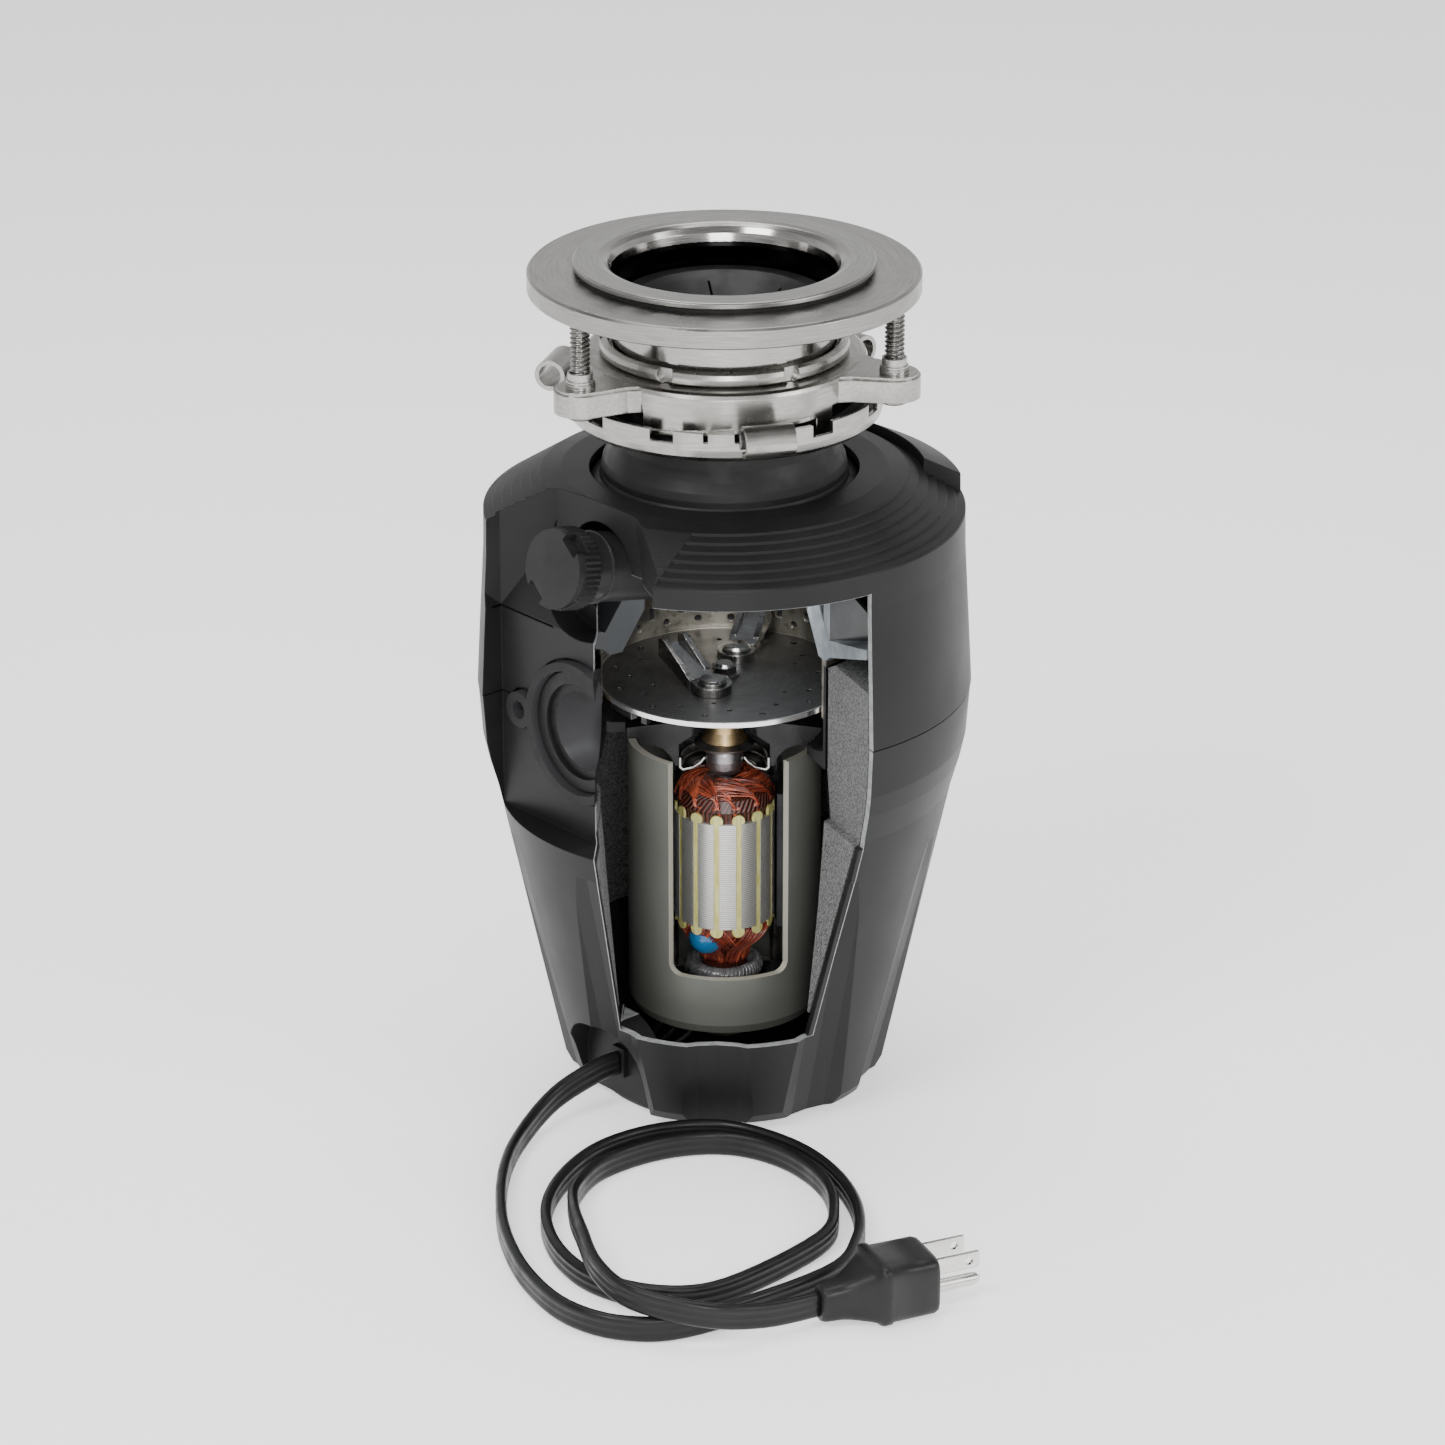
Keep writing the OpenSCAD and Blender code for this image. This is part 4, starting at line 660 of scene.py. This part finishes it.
def caps(faces, first, bands, sides):
    """Closes the first and the last of those rings."""
    faces.append([first + k for k in reversed(range(sides))])
    faces.append([first + bands * sides + k for k in range(sides)])


def circle(radius, sides):
    return [(radius * math.cos(2 * math.pi * k / sides), radius * math.sin(2 * math.pi * k / sides))
            for k in range(sides)]


def polar(radius, angle, z):
    return (radius * math.cos(angle), radius * math.sin(angle), z)


def height_at(profile, radius):
    """Height of a profile of (radius, height) points, the radius falling along it."""
    for (r0, z0), (r1, z1) in zip(profile, profile[1:]):
        if r1 <= radius <= r0:
            return z0 + (z1 - z0) * (r0 - radius) / max(r0 - r1, 1e-6)
    return profile[0][1] if radius > profile[0][0] else profile[-1][1]


# ---- Cord and plug

def curve_point(p, t):
    """A point between the middle two of four, on a smooth curve through them."""
    return [0.5 * (2 * b + (c - a) * t + (2 * a - 5 * b + 4 * c - d) * t * t
                   + (3 * b - a - 3 * c + d) * t ** 3) for a, b, c, d in zip(*p)]


def cord_line(steps):
    """The cord's route as a smooth line, with steps points to each stretch."""
    last = len(CORD_ROUTE) - 1
    line = []
    for i in range(last):
        around = [CORD_ROUTE[min(max(i + shift, 0), last)] for shift in (-1, 0, 1, 2)]
        line += [curve_point(around, k / steps) for k in range(steps)]
    return line + [list(CORD_ROUTE[last])]


def cord_outline():
    """Three round cores side by side, the flat section standing on its edge."""
    outline = []
    half, core = CORD_W / 2, CORD_T / 2
    count = 36
    for k in range(count):
        a = 2 * math.pi * (k + 0.5) / count
        up = half * math.sin(a)
        nearest = min(CORE_OFFSETS, key=lambda c: abs(up - c))
        off = min(abs(up - nearest), core)
        wide = math.sqrt(max(core * core - off * off, 0.03))
        outline.append((math.copysign(wide, math.cos(a)), up))
    return outline


def make_cord(looks, plug):
    line = cord_line(6)
    points, faces = [], []
    tube(points, faces, line, cord_outline())
    cord = piece("cord_tube", points, faces, looks["cord"], "body")
    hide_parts("cord")


def make_plug(looks):
    """The grip, through rounded sections along the plug."""
    sides = 48
    ca, sa = math.cos(math.radians(PLUG_DIR)), math.sin(math.radians(PLUG_DIR))
    points, faces = [], []
    for x, half, low, high, square in PLUG_SECTIONS:
        for k in range(sides):
            a = 2 * math.pi * k / sides
            c, s = math.cos(a), math.sin(a)
            y = half * math.copysign(abs(c) ** (2 / square), c)
            z = (low + high) / 2 + (high - low) / 2 * math.copysign(abs(s) ** (2 / square), s)
            points.append((PLUG_AT[0] + x * ca - y * sa, PLUG_AT[1] + x * sa + y * ca, z))
    bands = len(PLUG_SECTIONS) - 1
    skin(faces, 0, bands, sides)
    caps(faces, 0, bands, sides)
    plug = piece("plug_grip", points, faces, looks["plug"], "body")
    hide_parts("plug_body")
    return plug


# ---- Wound wire

# (radius, distance from the end of the core) along the outside of the windings
TOP_PROFILE = [(20.2, 4.9), (19.6, 7.0), (18.4, 9.2), (15.0, 12.0), (11.0, 13.6), (6.0, 14.2)]
LOW_PROFILE = [(17.9, 0.5), (17.8, 3.4), (16.6, 7.0), (13.4, 10.6), (9.8, 14.0), (8.9, 19.0)]
TOP_OUTER_R, TOP_INNER_R = 19.6, 16.0
TOP_STRAND_R, LOW_STRAND_R, LEAD_STRAND_R = 0.31, 0.34, 0.55


def wind(name, looks, tones, section):
    """One mesh of strands for each tone of wire; tones maps a look to its lines."""
    for tone, lines in tones.items():
        points, faces = [], []
        for line in lines:
            tube(points, faces, line, section)
        piece(f"{name}_{tone}", points, faces, looks[tone], "rotor")


def make_top_strands(looks):
    """Coils that leave the slots and sweep across the upper end of the core, each over the last."""
    tones = {"copper_wire": [], "dark_wire": []}
    coils, strands, steps = 14, 15, 26
    half = math.radians(64)
    for coil in range(coils):
        middle = 2 * math.pi * (coil + random.uniform(-0.2, 0.2)) / coils
        sink = random.uniform(-0.7, 0.5)
        for strand in range(strands):
            inner = TOP_INNER_R - 0.69 * strand + random.uniform(-0.3, 0.3)
            bend = 0.62 + random.uniform(-0.06, 0.06)
            sway = random.uniform(-0.35, 0.35)
            skew = random.uniform(-0.03, 0.03)
            line = []
            for i in range(steps + 1):
                u = 2 * i / steps - 1
                radius = TOP_OUTER_R - (TOP_OUTER_R - inner) * (1 - u * u) ** bend
                lift = sink - 1.9 + 1.45 * (u + 1) + sway * math.sin(3 * u + strand)
                z = CORE_Z1 + height_at(TOP_PROFILE, radius) + lift * (1 - 0.6 * u ** 8)
                line.append(polar(radius, middle + half * u + skew, z))
            line.append(polar(18.6, middle + half * 1.03 + skew, CORE_Z1 + 3.6))
            line.append(polar(16.5, middle + half * 1.04 + skew, CORE_Z1 + 1.0))
            tones["dark_wire" if random.random() < 0.35 else "copper_wire"].append(line)
    wind("top_strands", looks, tones, circle(TOP_STRAND_R, 8))


def make_low_strands(looks):
    """Strands that run down from the core to the commutator, in bundles of two crossing layers."""
    tones = {"copper_wire": [], "dark_wire": []}
    bundles, each, steps = 14, 6, 14
    for layer in (1, -1):
        for k in range(bundles * each):
            bundle, strand = divmod(k, each)
            start = 2 * math.pi * (bundle + 0.16 * strand) / bundles + random.uniform(-0.03, 0.03)
            span = layer * math.radians(36 + 9 * math.sin(2.4 * bundle))
            lift = (0.2 if layer > 0 else 0.75) + 0.3 * math.sin(1.9 * bundle)
            lift += random.uniform(-0.12, 0.12)
            line = []
            for i in range(steps + 1):
                t = i / steps
                place = t * (len(LOW_PROFILE) - 1)
                j = min(int(place), len(LOW_PROFILE) - 2)
                f = place - j
                radius = LOW_PROFILE[j][0] * (1 - f) + LOW_PROFILE[j + 1][0] * f
                down = LOW_PROFILE[j][1] * (1 - f) + LOW_PROFILE[j + 1][1] * f
                line.append(polar(radius + lift, start + span * t, CORE_Z0 - down))
            tones["copper_wire" if random.random() < 0.3 else "dark_wire"].append(line)
    wind("low_strands", looks, tones, circle(LOW_STRAND_R, 8))


def make_lead_loops(looks):
    """Loops of varnished wire around the ring at the commutator."""
    points, faces = [], []
    section = circle(LEAD_STRAND_R, 6)
    loops, steps = 56, 16
    lean = math.radians(5)
    for k in range(loops):
        middle = 2 * math.pi * k / loops
        line = []
        for i in range(steps):
            a = 2 * math.pi * i / steps
            line.append(polar(LEAD_RING_R + LEAD_LOOP_R * math.cos(a), middle + lean * math.sin(a),
                              LEAD_RING_Z + LEAD_LOOP_R * math.sin(a)))
        tube(points, faces, line, section, up=polar(1, middle, 0), closed=True)
    piece("lead_loops", points, faces, looks["lead_wire"], "rotor")


# ---- Threads and small parts

def make_threads(looks):
    """The mounting studs: screw threads with round heads under them."""
    points, faces = [], []
    sides, per_turn = 28, 8
    for angle in STUD_ANGLES:
        a0 = math.radians(angle)
        cx, cy = STUD_PCR * math.cos(a0), STUD_PCR * math.sin(a0)
        first = len(points)
        rows = int((STUD_Z1 - STUD_Z0) / THREAD_PITCH * per_turn)
        for i in range(rows + 1):
            z = STUD_Z0 + (STUD_Z1 - STUD_Z0) * i / rows
            for k in range(sides):
                phase = (z / THREAD_PITCH - k / sides) % 1.0
                wave = abs(2 * phase - 1)
                radius = STUD_R - THREAD_DEPTH * min(1.0, wave * 1.15)
                b = 2 * math.pi * k / sides
                points.append((cx + radius * math.cos(b), cy + radius * math.sin(b), z))
        skin(faces, first, rows, sides)
        caps(faces, first, rows, sides)
        head_tube(points, faces, cx, cy)
    threads = piece("stud_threads", points, faces, looks["thread"], "body", smooth=False)
    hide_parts("mount_studs")


def head_tube(points, faces, cx, cy):
    """A round stud head with a chamfered foot."""
    sides = 32
    first = len(points)
    for radius, z in STUD_HEAD:
        for k in range(sides):
            b = 2 * math.pi * k / sides
            points.append((cx + radius * math.cos(b), cy + radius * math.sin(b), z))
    skin(faces, first, len(STUD_HEAD) - 1, sides)


def dress_nodes(looks):
    """Gives each CAD node the look that MATERIAL_OF names."""
    for name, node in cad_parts.items():
        node.data.materials.clear()
        node.data.materials.append(looks[MATERIAL_OF[name]])


# ---- Build

make_camera()
LOOKS = make_materials()
dress_nodes(LOOKS)
make_cord(LOOKS, make_plug(LOOKS))
make_top_strands(LOOKS)
make_low_strands(LOOKS)
make_lead_loops(LOOKS)
make_threads(LOOKS)
make_stage()
